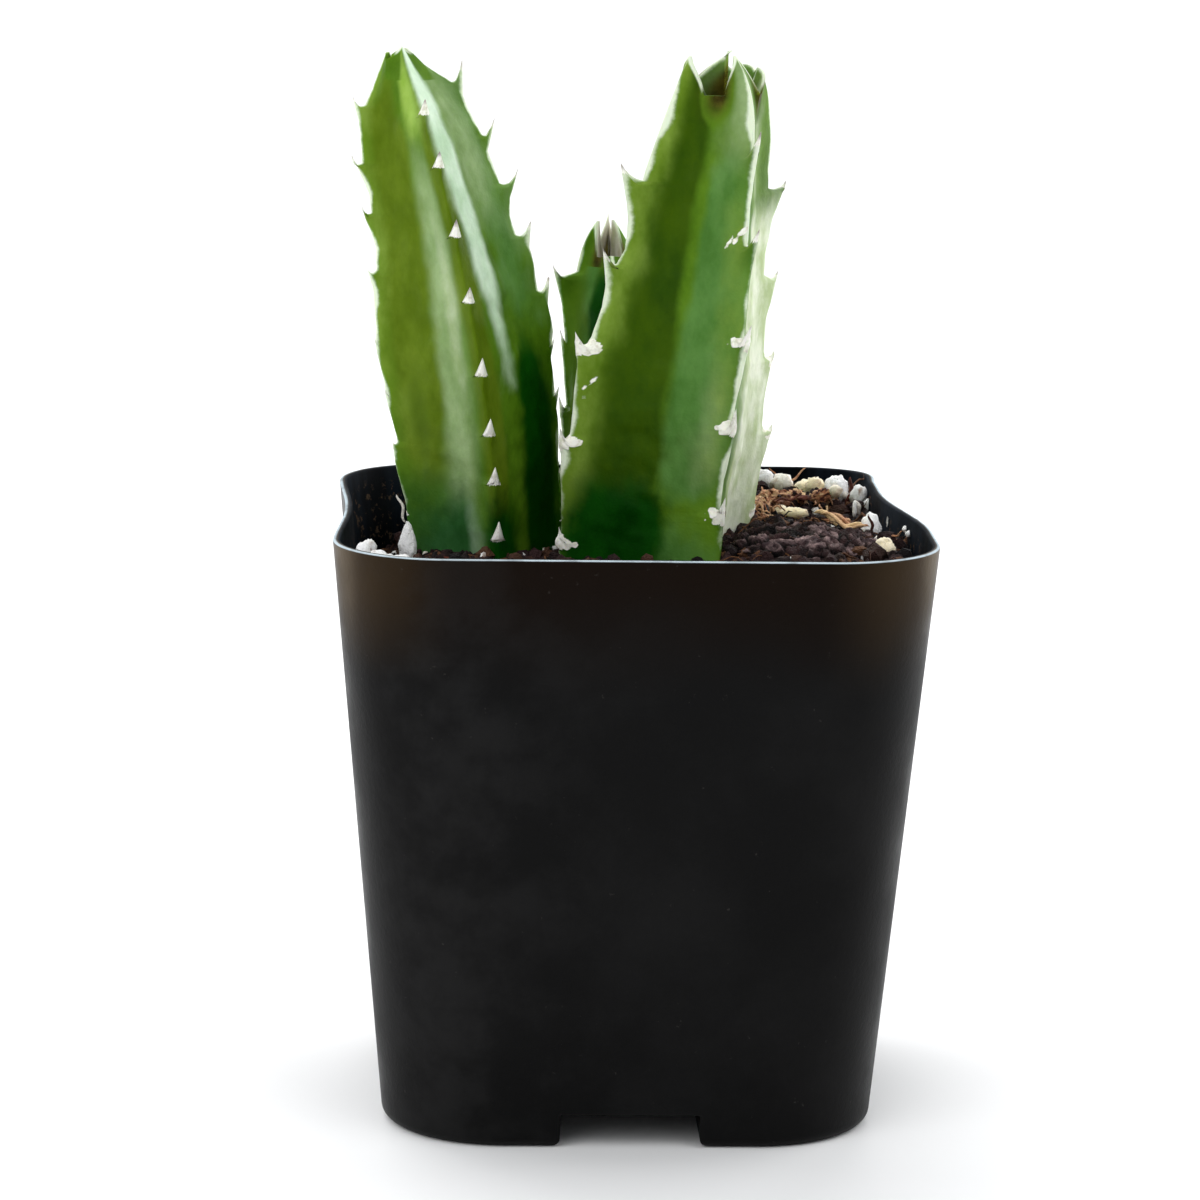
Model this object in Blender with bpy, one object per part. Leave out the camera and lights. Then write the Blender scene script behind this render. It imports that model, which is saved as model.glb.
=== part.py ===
"""A potted stapelia: three four-angled, toothed stems in potting mix, in a thin square nursery pot.

Units are metres, +Z is up, and the origin is the middle of the pot's base. The rim is square to X and Y.
"""

import math
import random

import bmesh
import bpy
import numpy as np
from mathutils import Matrix, Vector

MM = 0.001
GAP = 0.3 * MM

# The pot
RIM_HALF = 31.75 * MM
BASE_HALF = 26.2 * MM
POT_HEIGHT = 64.0 * MM
RIM_CORNER = 11.9 * MM
BASE_CORNER = 12.9 * MM
WALL = 0.8 * MM
BASE_ROUND = 1.4 * MM
CHANNEL_HALF = 7.4 * MM
CHANNEL_HEIGHT = 3.75 * MM
FOOT_ROUND = 1.1 * MM
FOOT_ROUND_STEPS = 4
CORNER_STEPS = 7
SIDE_STEPS = 6
LEFT_BOW = 0.9 * MM
RIGHT_PRESS = 3.15 * MM
PRESS_START = (-12.0 * MM, 14.0 * MM)
PRESS_END = (20.5 * MM, 30.5 * MM)
BOW_START = 30.0 * MM
WALL_HEIGHTS = (BOW_START, 41.0 * MM, 50.0 * MM, 57.0 * MM)
HOLE_RADIUS = 3.5 * MM
HOLE_OUT = 15.0 * MM
HOLE_SIDES = 16
CUT_PAST = 5.0 * MM

# The potting mix. A slope is where it starts, where it ends and how much it adds.
SOIL_LEVEL = 59.6 * MM
SOIL_SLOPE_RIGHT = (4.0 * MM, 16.0 * MM, 1.9 * MM)
SOIL_SLOPE_CORNER = ((6.0 * MM, 16.0 * MM), (10.0 * MM, 24.0 * MM), 1.3 * MM)
SOIL_SLOPE_LEFT = ((21.0 * MM, 27.0 * MM), (-22.0 * MM, 2.0 * MM), -5.2 * MM)
SOIL_SLOPE_FRONT_LEFT = ((21.0 * MM, 27.0 * MM), (14.0 * MM, 22.0 * MM), 1.6 * MM)
SOIL_RINGS = 15
SOIL_LUMPS = 46
LUMP_SPREAD = 29.0 * MM
LUMP_RADIUS = (2.2 * MM, 4.2 * MM)
LUMP_HEIGHT = (-0.75 * MM, 0.95 * MM)
PEAT_LUMP = (18.0 * MM, -5.0 * MM, 6.5 * MM, 1.3 * MM)
HOLLOW = (23.5 * MM, 15.5 * MM, 2.8 * MM, -2.6 * MM)
SOIL_SEED = 11

# The stems
STUB_DEPTH = 16.0 * MM
STUB_SHARE = 0.66
SOIL_COLLAR = 1.6 * MM
RING_STEP = 1.1 * MM
FACE_POWER = 0.86
CREST_ROUND = 0.0006
CREST_HOLD = 8
RIB_COLUMNS = (-45.0, -22.0, -7.0, 0.0, 7.0, 22.0)
STUB_BLEND = 3.0 * MM
STEM_SOCKET_GROWTH = 0.6 * MM
SOCKET_TOP = 6.0 * MM
NODE_FALL = 1.1 * MM
NODE_RISE_POWER = 1.6
SWELL_MIDDLE = 0.35

# The teeth
TOOTH_SIDES = 6
TOOTH_SIZES = (1.0, 0.79, 0.43)
TOOTH_ROOT = (1.3 * MM, 1.1 * MM)
TOOTH_CLEARANCE = 1.2 * MM
LOBE_SIZES = (0.25, 0.8, 1.0, 0.72, 0.38)
LOBE_ROOT = (1.6 * MM, 2.6 * MM)
RISE_LOW = 80.0
RISE_MIDDLE = 74.0
RISE_TIP = 80.0
LENGTH_SPREAD = 0.12
RISE_SPREAD = 7.0
CROWN_DROP = 4.5 * MM
CROWN_REACH = 0.75

# Each stem's ribs are listed from the one nearest -X round by the front. Node heights and tooth lengths are
# in millimetres. A crest is a rib's outline where it isn't the plain saw-tooth: heights and distances from
# the axis. A crown lobe is its tip's distance from the axis, its height and half its width.
STEMS = {
    "stem_left": {
        "foot": (-14.95 * MM, 0.5 * MM),
        "tip": (-25.1 * MM, 0.5 * MM),
        "top": 113.1 * MM,
        "bow": 0.63,
        "foot_radius": 7.8 * MM,
        "belly_radius": 9.6 * MM,
        "belly_at": 0.42,
        "taper": 0.40,
        "cap_at": 0.80,
        "first_rib": -84.5,
        "rib_shares": (1.0, 1.0, 1.0, 1.0),
        "swell": 0.8 * MM,
        "nodes": (
            (63.1, 70.8, 76.2, 81.8, 89.3, 95.6, 100.9, 107.1),
            (61.6, 67.8, 73.1, 79.5, 87.2, 94.0, 101.2, 106.6),
            (62.4, 68.4, 76.0, 81.4, 87.3, 93.3, 98.8, 104.0, 109.7),
            (65.0, 71.2, 78.0, 84.6, 91.0, 98.0, 104.4),
        ),
        "crests": {
            0: (
                (58.0, 8.6), (65.0, 9.05), (69.2, 9.7), (70.8, 9.75), (71.3, 9.2), (75.1, 9.75), (79.5, 9.9),
                (81.8, 10.15), (83.8, 9.6), (88.0, 9.25), (89.3, 9.5), (89.9, 8.6), (92.1, 8.1), (94.5, 8.35),
                (95.6, 8.6), (96.0, 7.7), (98.0, 7.5), (100.2, 7.95), (101.0, 8.4), (101.3, 7.5), (104.4, 6.85),
                (107.1, 6.5), (107.5, 5.5), (109.2, 4.25), (111.0, 3.1), (112.3, 1.6), (113.1, 0.4),
            ),
            2: (
                (58.0, 7.8), (68.0, 8.0), (73.0, 8.5), (80.5, 8.7), (83.3, 9.4), (87.2, 9.3), (87.7, 8.5),
                (91.7, 8.55), (93.3, 8.3), (93.7, 7.3), (95.7, 7.1), (97.6, 7.4), (98.8, 7.95), (99.2, 6.75),
                (102.7, 6.4), (104.0, 6.8), (104.4, 6.2), (107.2, 5.4), (109.7, 5.2), (110.0, 4.5), (111.0, 3.3),
                (112.9, 1.2), (113.1, 0.4),
            ),
        },
        "tooth_lengths": ((0.8, 1.5), (2.4, 2.2), (0.7, 2.9), (1.3, 2.2)),
        "tooth_half": (0.42 * MM, 0.75 * MM),
        "crown": ((2.0, 112.8, 0.7), (0.4, 113.9, 0.8), (1.7, 113.0, 0.7), (0.6, 113.5, 0.7)),
        "lobe_depth": 1.0 * MM,
        "seed": 3,
    },
    "stem_right": {
        "foot": (1.8 * MM, -0.5 * MM),
        "tip": (9.4 * MM, -0.5 * MM),
        "top": 111.0 * MM,
        "bow": 0.0,
        "foot_radius": 11.7 * MM,
        "belly_radius": 12.4 * MM,
        "belly_at": 0.32,
        "taper": 0.56,
        "cap_at": 0.95,
        "first_rib": -56.5,
        "rib_shares": (1.04, 1.0, 1.08, 1.04),
        "swell": 1.2 * MM,
        "nodes": (
            (61.5, 72.4, 82.6, 91.0, 99.9),
            (65.0, 74.4, 83.3, 93.3, 102.9),
            (62.8, 71.6, 79.7, 88.4, 98.2),
            (66.0, 75.4, 85.4, 95.6, 104.4),
        ),
        "crests": {
            0: (
                (58.0, 11.3), (64.2, 12.0), (69.1, 13.1), (72.4, 13.6), (73.2, 12.7), (76.7, 13.0), (80.6, 13.3),
                (82.6, 13.5), (83.1, 12.2), (85.4, 11.6), (87.0, 11.2), (91.0, 11.4), (91.5, 10.3), (93.0, 9.45),
                (96.6, 9.8), (99.9, 10.75), (100.2, 8.65), (103.1, 8.1), (106.5, 7.25), (108.8, 6.8),
                (111.0, 1.0),
            ),
            1: (
                (58.0, 13.4), (61.0, 13.0), (65.0, 12.4), (65.4, 11.7), (69.0, 11.4), (74.4, 11.9), (74.8, 11.2),
                (78.0, 11.3), (83.3, 11.7), (83.8, 10.8), (89.2, 10.1), (93.3, 10.2), (93.8, 8.7), (98.0, 8.0),
                (102.9, 8.0), (103.4, 7.2), (107.0, 6.3), (108.8, 5.7), (111.0, 1.0),
            ),
            2: (
                (58.0, 13.9), (67.9, 13.9), (71.6, 14.5), (72.1, 13.1), (75.0, 12.75), (79.7, 12.95),
                (80.2, 11.6), (84.4, 11.2), (88.4, 11.65), (89.2, 9.75), (91.7, 9.45), (95.6, 9.75), (98.2, 10.6),
                (98.7, 8.4), (100.9, 7.95), (104.0, 7.6), (106.2, 7.1), (108.8, 6.1), (111.0, 1.0),
            ),
        },
        "tooth_lengths": ((2.0, 2.6), (2.4, 3.3), (0.9, 1.5), (1.6, 2.4)),
        "tooth_half": (0.5 * MM, 1.0 * MM),
        "crown": ((4.8, 113.4, 1.3), (1.4, 114.1, 2.3), (4.6, 112.1, 1.2), (0.2, 113.9, 2.2)),
        "lobe_depth": 1.6 * MM,
        "seed": 8,
    },
    "stem_back": {
        "foot": (-2.0 * MM, 20.0 * MM),
        "tip": (-2.0 * MM, 20.0 * MM),
        "top": 91.8 * MM,
        "bow": 0.0,
        "foot_radius": 5.2 * MM,
        "belly_radius": 5.7 * MM,
        "belly_at": 0.30,
        "taper": 0.16,
        "cap_at": 0.66,
        "first_rib": -82.0,
        "rib_shares": (1.0, 1.0, 1.0, 1.0),
        "swell": 0.7 * MM,
        "nodes": (
            (64.6, 72.0, 79.3, 86.8),
            (66.8, 74.2, 81.6),
            (63.6, 71.0, 78.4, 85.8),
            (67.8, 75.2, 82.6),
        ),
        "crests": {
            0: (
                (58.0, 4.9), (64.6, 5.3), (65.0, 4.7), (72.0, 5.2), (72.4, 4.5), (79.3, 5.2), (79.8, 4.8),
                (83.8, 5.2), (86.8, 5.8), (87.2, 5.0), (87.6, 3.6), (88.7, 3.4), (90.5, 2.9), (91.8, 2.2),
            ),
        },
        "tooth_lengths": ((1.6, 2.3), (1.6, 2.4), (1.6, 2.3), (1.6, 2.3)),
        "tooth_half": (0.4 * MM, 0.75 * MM),
        "crown": ((1.3, 93.4, 1.1), (1.2, 92.8, 1.0), (0.5, 94.1, 1.1), (1.4, 93.6, 1.0)),
        "lobe_depth": 1.0 * MM,
        "seed": 5,
    },
}

# Loose pieces of the mix: middle, half sizes, turn about Z in degrees
PERLITE = {
    "perlite_1": ((-24.0, -3.9, 60.7), (1.1, 1.0, 2.5), 10.0),
    "perlite_2": ((24.3, 22.8, 62.7), (1.5, 1.4, 1.8), 35.0),
    "perlite_3": ((26.4, 1.5, 61.9), (1.2, 1.3, 1.9), -20.0),
    "perlite_4": ((26.6, -12.0, 61.6), (1.5, 1.2, 1.7), 15.0),
    "perlite_5": ((20.9, 25.0, 62.4), (1.6, 1.2, 1.2), 60.0),
    "perlite_6": ((-26.0, -22.5, 61.7), (1.5, 1.1, 1.2), 25.0),
}
BARK = {
    "bark_1": ((22.6, 8.2, 61.7), (2.6, 0.9, 0.9), -38.0),
    "bark_2": ((17.0, 20.5, 61.9), (1.9, 1.1, 0.8), 24.0),
}
GRAIN_DENT = 0.16
GRAIN_BUMP = 0.06
GRAIN_SOCKET_GROWTH = 0.4 * MM

# Finishes: colour, roughness
POT_FINISH = ((0.012, 0.012, 0.012), 0.45)
SOIL_FINISH = ((0.045, 0.028, 0.022), 0.95)
STEM_FINISH = ((0.10, 0.20, 0.035), 0.45)
PERLITE_FINISH = ((0.80, 0.80, 0.76), 0.90)
BARK_FINISH = ((0.45, 0.25, 0.12), 0.85)


def smooth(value):
    """0 below 0, 1 above 1, and a smooth S between."""
    value = np.clip(value, 0.0, 1.0)
    return float(value * value * (3.0 - 2.0 * value))


def ramp(value, start, end):
    """0 before start, 1 past end, and smooth between."""
    return smooth((value - start) / (end - start))


def clear_scene():
    for obj in list(bpy.data.objects):
        bpy.data.objects.remove(obj, do_unlink=True)


def new_collection(name):
    collection = bpy.data.collections.new(name)
    bpy.context.scene.collection.children.link(collection)
    return collection


def material(name, finish):
    """A Principled material of one colour and one roughness, with no metal."""
    made = bpy.data.materials.new(name)
    made.use_nodes = True
    shader = made.node_tree.nodes["Principled BSDF"]
    shader.inputs["Base Color"].default_value = (*finish[0], 1.0)
    shader.inputs["Roughness"].default_value = finish[1]
    shader.inputs["Metallic"].default_value = 0.0
    return made


def object_from(bm, name, collection, finish=None):
    """An object whose mesh is the bmesh, with its faces turned outwards and its doubles merged."""
    bmesh.ops.remove_doubles(bm, verts=bm.verts, dist=1e-6)
    bmesh.ops.recalc_face_normals(bm, faces=bm.faces)
    mesh = bpy.data.meshes.new(name)
    bm.to_mesh(mesh)
    bm.free()
    obj = bpy.data.objects.new(name, mesh)
    collection.objects.link(obj)
    if finish:
        mesh.materials.append(finish)
    return obj


def loft(rings, name, collection, finish=None, tip=None):
    """A closed solid through rings of equal length, capped at its first ring and at its last ring or tip."""
    bm = bmesh.new()
    rows = [[bm.verts.new(point) for point in ring] for ring in rings]
    count = len(rows[0])
    for low, high in zip(rows, rows[1:]):
        for i in range(count):
            j = (i + 1) % count
            bm.faces.new((low[i], low[j], high[j], high[i]))
    bm.faces.new(reversed(rows[0]))
    if tip is None:
        bm.faces.new(rows[-1])
    else:
        point = bm.verts.new(tip)
        for i in range(count):
            bm.faces.new((rows[-1][i], rows[-1][(i + 1) % count], point))
    return object_from(bm, name, collection, finish)


def boolean(obj, operation, operand, solver="EXACT"):
    """Applies one Boolean with an object or a collection, and removes what it used."""
    modifier = obj.modifiers.new(operation.lower(), "BOOLEAN")
    modifier.operation = operation
    modifier.solver = solver
    is_collection = isinstance(operand, bpy.types.Collection)
    if is_collection:
        modifier.operand_type = "COLLECTION"
        modifier.collection = operand
    else:
        modifier.object = operand
    graph = bpy.context.evaluated_depsgraph_get()
    result = bpy.data.meshes.new_from_object(obj.evaluated_get(graph), depsgraph=graph)
    obj.modifiers.clear()
    obj.data = result
    used = list(operand.objects) if is_collection else [operand]
    for helper in used:
        bpy.data.objects.remove(helper, do_unlink=True)
    if is_collection:
        bpy.data.collections.remove(operand)


def soften(obj, degrees=35.0):
    obj.data.shade_smooth()
    obj.data.set_sharp_from_angle(angle=math.radians(degrees))


# Pot

def pot_half(z):
    return BASE_HALF + (RIM_HALF - BASE_HALF) * z / POT_HEIGHT


def wall_bow(x, y, z):
    """How far a side wall is drawn in: most at the rim, all along the left side and towards the back right."""
    rise = ramp(z, BOW_START, POT_HEIGHT)
    if x > 0.0:
        return RIGHT_PRESS * rise * ramp(y, *PRESS_START) * (1.0 - ramp(y, *PRESS_END))
    reach = RIM_HALF - RIM_CORNER
    along = max(0.0, 1.0 - (y / reach) ** 2) ** 2
    return LEFT_BOW * rise * along


def pot_ring(z, inset=0.0):
    """The pot's rounded square at one height, moved in by inset, with its side walls' bow."""
    half = pot_half(z) - inset
    corner = BASE_CORNER + (RIM_CORNER - BASE_CORNER) * z / POT_HEIGHT - inset
    straight = half - corner
    points = []
    for quarter in range(4):
        turn = quarter * math.pi / 2.0
        for step in range(CORNER_STEPS + 1):
            angle = turn + step / CORNER_STEPS * math.pi / 2.0
            middle = turn + math.pi / 4.0
            x = straight * math.copysign(1.0, math.cos(middle)) + corner * math.cos(angle)
            y = straight * math.copysign(1.0, math.sin(middle)) + corner * math.sin(angle)
            points.append((x, y))
        for step in range(1, SIDE_STEPS):
            angle = turn + math.pi / 2.0
            along = straight * (1.0 - 2.0 * step / SIDE_STEPS)
            x = half * math.cos(angle) + along * math.sin(angle)
            y = half * math.sin(angle) - along * math.cos(angle)
            points.append((x, y))
    ring = []
    for x, y in points:
        ring.append((x - math.copysign(wall_bow(x, y, z), x), y, z))
    return ring


def pot_block(name, collection, inset, floor, top, rounding):
    """A solid of the pot's outline from floor to top, with its lower edge rounded."""
    rings = []
    for step in range(4):
        angle = step / 3.0 * math.pi / 2.0
        edge = rounding * (1.0 - math.sin(angle))
        rings.append(pot_ring(floor + rounding * (1.0 - math.cos(angle)), inset + edge))
    rings += [pot_ring(z, inset) for z in WALL_HEIGHTS]
    rings.append(pot_ring(top, inset))
    return loft(rings, name, collection)


def channel_outline(grow):
    """Half of a channel's section from its lower edge up: rounded out at the feet, square at the ceiling."""
    half = CHANNEL_HALF + grow
    outline = [(half + FOOT_ROUND, -CUT_PAST)]
    for step in range(FOOT_ROUND_STEPS + 1):
        angle = step / FOOT_ROUND_STEPS * math.pi / 2.0
        out = FOOT_ROUND * (1.0 - math.sin(angle))
        outline.append((half + out, grow + FOOT_ROUND * (1.0 - math.cos(angle))))
    outline.append((half, CHANNEL_HEIGHT + grow))
    return outline


def channel_bar(name, collection, grow, along_x):
    """One bar of the cross-shaped channel under the pot: its section carried right through."""
    outline = channel_outline(grow)
    section = outline + [(-across, z) for across, z in reversed(outline)]
    reach = 2.0 * BASE_HALF
    rings = []
    for end in (-reach, reach):
        rings.append([(end, across, z) if along_x else (across, end, z) for across, z in section])
    return loft(rings, name, collection)


def cut_channels(obj, grow, label):
    """Cuts the two crossing channels from the underside."""
    bars = new_collection(label)
    channel_bar(label + "_x", bars, grow, True)
    channel_bar(label + "_y", bars, grow, False)
    boolean(obj, "DIFFERENCE", bars)


def drain_holes(collection):
    """One drain hole in the middle of the pot's floor and one in each arm of the channel."""
    places = [(0.0, 0.0)]
    for quarter in range(4):
        angle = quarter * math.pi / 2.0
        places.append((HOLE_OUT * math.cos(angle), HOLE_OUT * math.sin(angle)))
    for i, (x, y) in enumerate(places):
        bm = bmesh.new()
        bmesh.ops.create_cone(
            bm, cap_ends=True, segments=HOLE_SIDES, radius1=HOLE_RADIUS, radius2=HOLE_RADIUS, depth=CUT_PAST
        )
        bmesh.ops.translate(bm, vec=(x, y, CHANNEL_HEIGHT + WALL / 2.0), verts=bm.verts)
        object_from(bm, "drain_cutter_%d" % i, collection)


def make_pot(parts):
    """A thin tapered shell whose floor is raised along a cross, which leaves a foot under each corner."""
    pot = pot_block("pot", parts, 0.0, 0.0, POT_HEIGHT, BASE_ROUND)
    hollow = pot_block("hollow", parts, WALL, WALL, POT_HEIGHT + CUT_PAST, BASE_ROUND)
    cut_channels(hollow, WALL, "floor_bars")
    boolean(pot, "DIFFERENCE", hollow)
    cut_channels(pot, 0.0, "channel_bars")
    holes = new_collection("drain_cutters")
    drain_holes(holes)
    boolean(pot, "DIFFERENCE", holes)
    pot.data.materials.clear()
    pot.data.materials.append(material("pot_plastic", POT_FINISH))
    soften(pot)


# Potting mix

def soil_lumps():
    """The lumps and dents, most of them seeded: middle, radius and height of each."""
    draw = random.Random(SOIL_SEED)
    lumps = [PEAT_LUMP, HOLLOW]
    for _ in range(SOIL_LUMPS):
        x = draw.uniform(-LUMP_SPREAD, LUMP_SPREAD)
        y = draw.uniform(-LUMP_SPREAD, LUMP_SPREAD)
        lumps.append((x, y, draw.uniform(*LUMP_RADIUS), draw.uniform(*LUMP_HEIGHT)))
    return lumps


def soil_height(x, y, lumps):
    """The mix's surface: high at the right and back, sunk at the left, with lumps."""
    across, along, rise = SOIL_SLOPE_CORNER
    left, left_along, left_fall = SOIL_SLOPE_LEFT
    front, front_along, front_rise = SOIL_SLOPE_FRONT_LEFT
    height = SOIL_LEVEL + SOIL_SLOPE_RIGHT[2] * ramp(x, *SOIL_SLOPE_RIGHT[:2])
    height += rise * ramp(x, *across) * ramp(y, *along)
    height += left_fall * ramp(-x, *left) * ramp(y, *left_along)
    height += front_rise * ramp(-x, *front) * ramp(-y, *front_along)
    for px, py, radius, rise in lumps:
        height += rise * math.exp(-((x - px) ** 2 + (y - py) ** 2) / radius**2)
    return height


def soil_rings(lumps):
    """Side rings from the floor up, then rings of the top surface drawn in to the middle."""
    inset = WALL + GAP
    rings = []
    for step in range(3):
        angle = step / 2.0 * math.pi / 2.0
        edge = BASE_ROUND * (1.0 - math.sin(angle))
        rings.append(pot_ring(inset + BASE_ROUND * (1.0 - math.cos(angle)), inset + edge))
    rings += [pot_ring(z, inset) for z in WALL_HEIGHTS[:3]]
    outline = pot_ring(SOIL_LEVEL, inset)
    edge_heights = [soil_height(x, y, lumps) for x, y, _ in outline]
    rings.append([pot_ring(z, inset)[i] for i, z in enumerate(edge_heights)])
    for step in range(1, SOIL_RINGS):
        share = 1.0 - step / SOIL_RINGS
        places = [(x * share, y * share) for x, y, _ in outline]
        rings.append([(x, y, soil_height(x, y, lumps)) for x, y in places])
    return rings


def make_soil(parts, sockets):
    """The mix fills the pot to 0.3 mm from its wall and floor, with a plain hole for each stem and grain."""
    lumps = soil_lumps()
    middle = (0.0, 0.0, soil_height(0.0, 0.0, lumps))
    soil = loft(soil_rings(lumps), "soil", parts, tip=middle)
    cut_channels(soil, WALL + GAP, "soil_bars")
    boolean(soil, "DIFFERENCE", sockets)
    soil.data.materials.clear()
    soil.data.materials.append(material("potting_mix", SOIL_FINISH))
    soften(soil, 50.0)


# Stems

def stem_axis(spec, t):
    """The middle of the stem at a share t of its height above the mix, leaning more towards its tip."""
    lean = (1.0 - spec["bow"]) * t + spec["bow"] * t * t
    foot = spec["foot"]
    tip = spec["tip"]
    return foot[0] + (tip[0] - foot[0]) * lean, foot[1] + (tip[1] - foot[1]) * lean


def stem_radius(spec, t):
    """From foot to belly, then tapering to a rounded tip."""
    belly = spec["belly_radius"]
    if t < spec["belly_at"]:
        part = 1.0 - t / spec["belly_at"]
        return belly - (belly - spec["foot_radius"]) * part * part
    above = (t - spec["belly_at"]) / (1.0 - spec["belly_at"])
    radius = belly * (1.0 - spec["taper"] * above)
    if t > spec["cap_at"]:
        part = min(1.0, (t - spec["cap_at"]) / (1.0 - spec["cap_at"]))
        radius *= math.sqrt(max(0.0, 1.0 - part * part))
    return radius


def rib_swell(spec, nodes, z):
    """The rib's saw-toothed crest: it swells slowly up to each node, then steps back in."""
    above = [node for node in nodes if node >= z]
    below = [node for node in nodes if node < z]
    start = below[-1] if below else SOIL_LEVEL
    rising = 0.0
    if above and z > start:
        rising = ((z - start) / (above[0] - start)) ** NODE_RISE_POWER
    falling = max(0.0, 1.0 - (z - below[-1]) / NODE_FALL) if below else 0.0
    return spec["swell"] * (max(rising, falling) - SWELL_MIDDLE)


def rib_nodes(spec, rib):
    return [height * MM for height in spec["nodes"][rib]]


def crest_radius(spec, rib, z):
    """A crest's distance from the axis: its own outline if it has one, else the stem's radius and its swell."""
    if rib in spec["crests"]:
        heights, radii = zip(*spec["crests"][rib])
        return float(np.interp(z / MM, heights, radii)) * MM
    t = (z - SOIL_LEVEL) / (spec["top"] - SOIL_LEVEL)
    radius = stem_radius(spec, min(1.0, max(0.0, t)))
    fade = min(1.0, radius / (0.5 * spec["belly_radius"])) * ramp(z, SOIL_LEVEL, SOIL_LEVEL + STUB_BLEND)
    return radius * spec["rib_shares"][rib] + rib_swell(spec, rib_nodes(spec, rib), z) * fade


def rib_direction(spec, rib):
    """A rib's direction from the axis. 0 degrees looks along -Y and turns towards +X."""
    angle = math.radians(spec["first_rib"] + 90.0 * rib)
    return math.sin(angle), -math.cos(angle)


def face_shape(offset):
    """The section's reach at an angle from a crest, as a share of the crest's."""
    across = math.sqrt(math.sin(offset) ** 2 + CREST_ROUND)
    along = math.sqrt(math.cos(offset) ** 2 + CREST_ROUND)
    return (across**FACE_POWER + along**FACE_POWER) ** (-1.0 / FACE_POWER)


def stem_ring(spec, z, grow):
    """One cross-section: four thin ribs with concave faces, turning into a round stub below the mix."""
    t = min(1.0, max(0.0, (z - SOIL_LEVEL) / (spec["top"] - SOIL_LEVEL)))
    cx, cy = stem_axis(spec, t)
    base = stem_radius(spec, t)
    stub = STUB_SHARE * spec["foot_radius"]
    buried = ramp(-z, SOIL_COLLAR - SOIL_LEVEL, SOIL_COLLAR - SOIL_LEVEL + STUB_BLEND)
    ring = []
    for rib in range(4):
        crest = crest_radius(spec, rib, z)
        for column in RIB_COLUMNS:
            offset = math.radians(column)
            near_crest = max(0.0, math.cos(2.0 * offset)) ** CREST_HOLD
            radius = (base + (crest - base) * near_crest) * face_shape(offset) / face_shape(0.0)
            radius = radius * (1.0 - buried) + stub * buried + grow
            angle = math.radians(spec["first_rib"] + 90.0 * rib + column)
            ring.append((cx + radius * math.sin(angle), cy - radius * math.cos(angle), z))
    return ring


def stem_body(name, spec, collection, grow=0.0, top=None):
    """The ribbed stem from its stub to its tip, or only up to top as a slightly wider cutter."""
    bottom = SOIL_LEVEL - STUB_DEPTH - grow
    cap = spec["top"] if top is None else top
    collar = SOIL_LEVEL - SOIL_COLLAR
    heights = [bottom] + [collar - drop * STUB_BLEND for drop in (2.0, 1.0, 0.67, 0.33, 0.0)]
    count = math.ceil((cap - collar) / RING_STEP)
    heights += [collar + (cap - collar) * i / count for i in range(1, count)]
    if top is not None:
        heights.append(top)
        return loft([stem_ring(spec, z, grow) for z in heights], name, collection)
    for share in (0.55, 0.85):
        heights.append(heights[-1] + (cap - heights[-1]) * share)
    x, y = stem_axis(spec, 1.0)
    return loft([stem_ring(spec, z, grow) for z in heights], name, collection, tip=(x, y, cap))


def add_tooth(name, base, tip, outward, half, sizes, root, collection):
    """A hook: flat rounded sections along a curve that starts inside the rib and bends up to the tip."""
    up = Vector((0.0, 0.0, 1.0))
    side = up.cross(outward)
    start = base - outward * root[0] - up * root[1]
    bend = base + outward * 0.3 * (tip - base).dot(outward)
    rings = []
    for step, size in enumerate(sizes):
        q = step / len(sizes)
        middle = start * (1.0 - q) ** 2 + bend * 2.0 * q * (1.0 - q) + tip * q * q
        along = ((bend - start) * (1.0 - q) + (tip - bend) * q).normalized()
        flat = along.cross(side).normalized()
        ring = []
        for i in range(TOOTH_SIDES):
            angle = 2.0 * math.pi * i / TOOTH_SIDES
            across = side * half[0] * math.cos(angle) + flat * half[1] * math.sin(angle)
            ring.append(middle + across * size)
        rings.append(ring)
    loft(rings, name, collection, tip=tip)


def tooth_rise(t):
    """Degrees above level: teeth hug the lower stem, spread on the upper stem and close over the tip."""
    spread = (RISE_LOW - RISE_MIDDLE) * ramp(t, 0.5, 0.78)
    return RISE_LOW - spread + (RISE_TIP - RISE_MIDDLE) * ramp(t, 0.82, 0.94)


def grow_crown(name, spec, teeth):
    """The young lobes that stand round the growing tip, one on each rib."""
    x, y = stem_axis(spec, 1.0)
    for rib, (reach, height, half_width) in enumerate(spec["crown"]):
        dx, dy = rib_direction(spec, rib)
        outward = Vector((dx, dy, 0.0))
        crest = stem_radius(spec, 1.0 - CROWN_DROP / (spec["top"] - SOIL_LEVEL))
        base = Vector((x, y, height * MM - CROWN_DROP)) + outward * CROWN_REACH * crest
        tip = Vector((x, y, height * MM)) + outward * reach * MM
        half = (half_width * MM, spec["lobe_depth"])
        add_tooth("%s_lobe_%d" % (name, rib), base, tip, outward, half, LOBE_SIZES, LOBE_ROOT, teeth)


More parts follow.
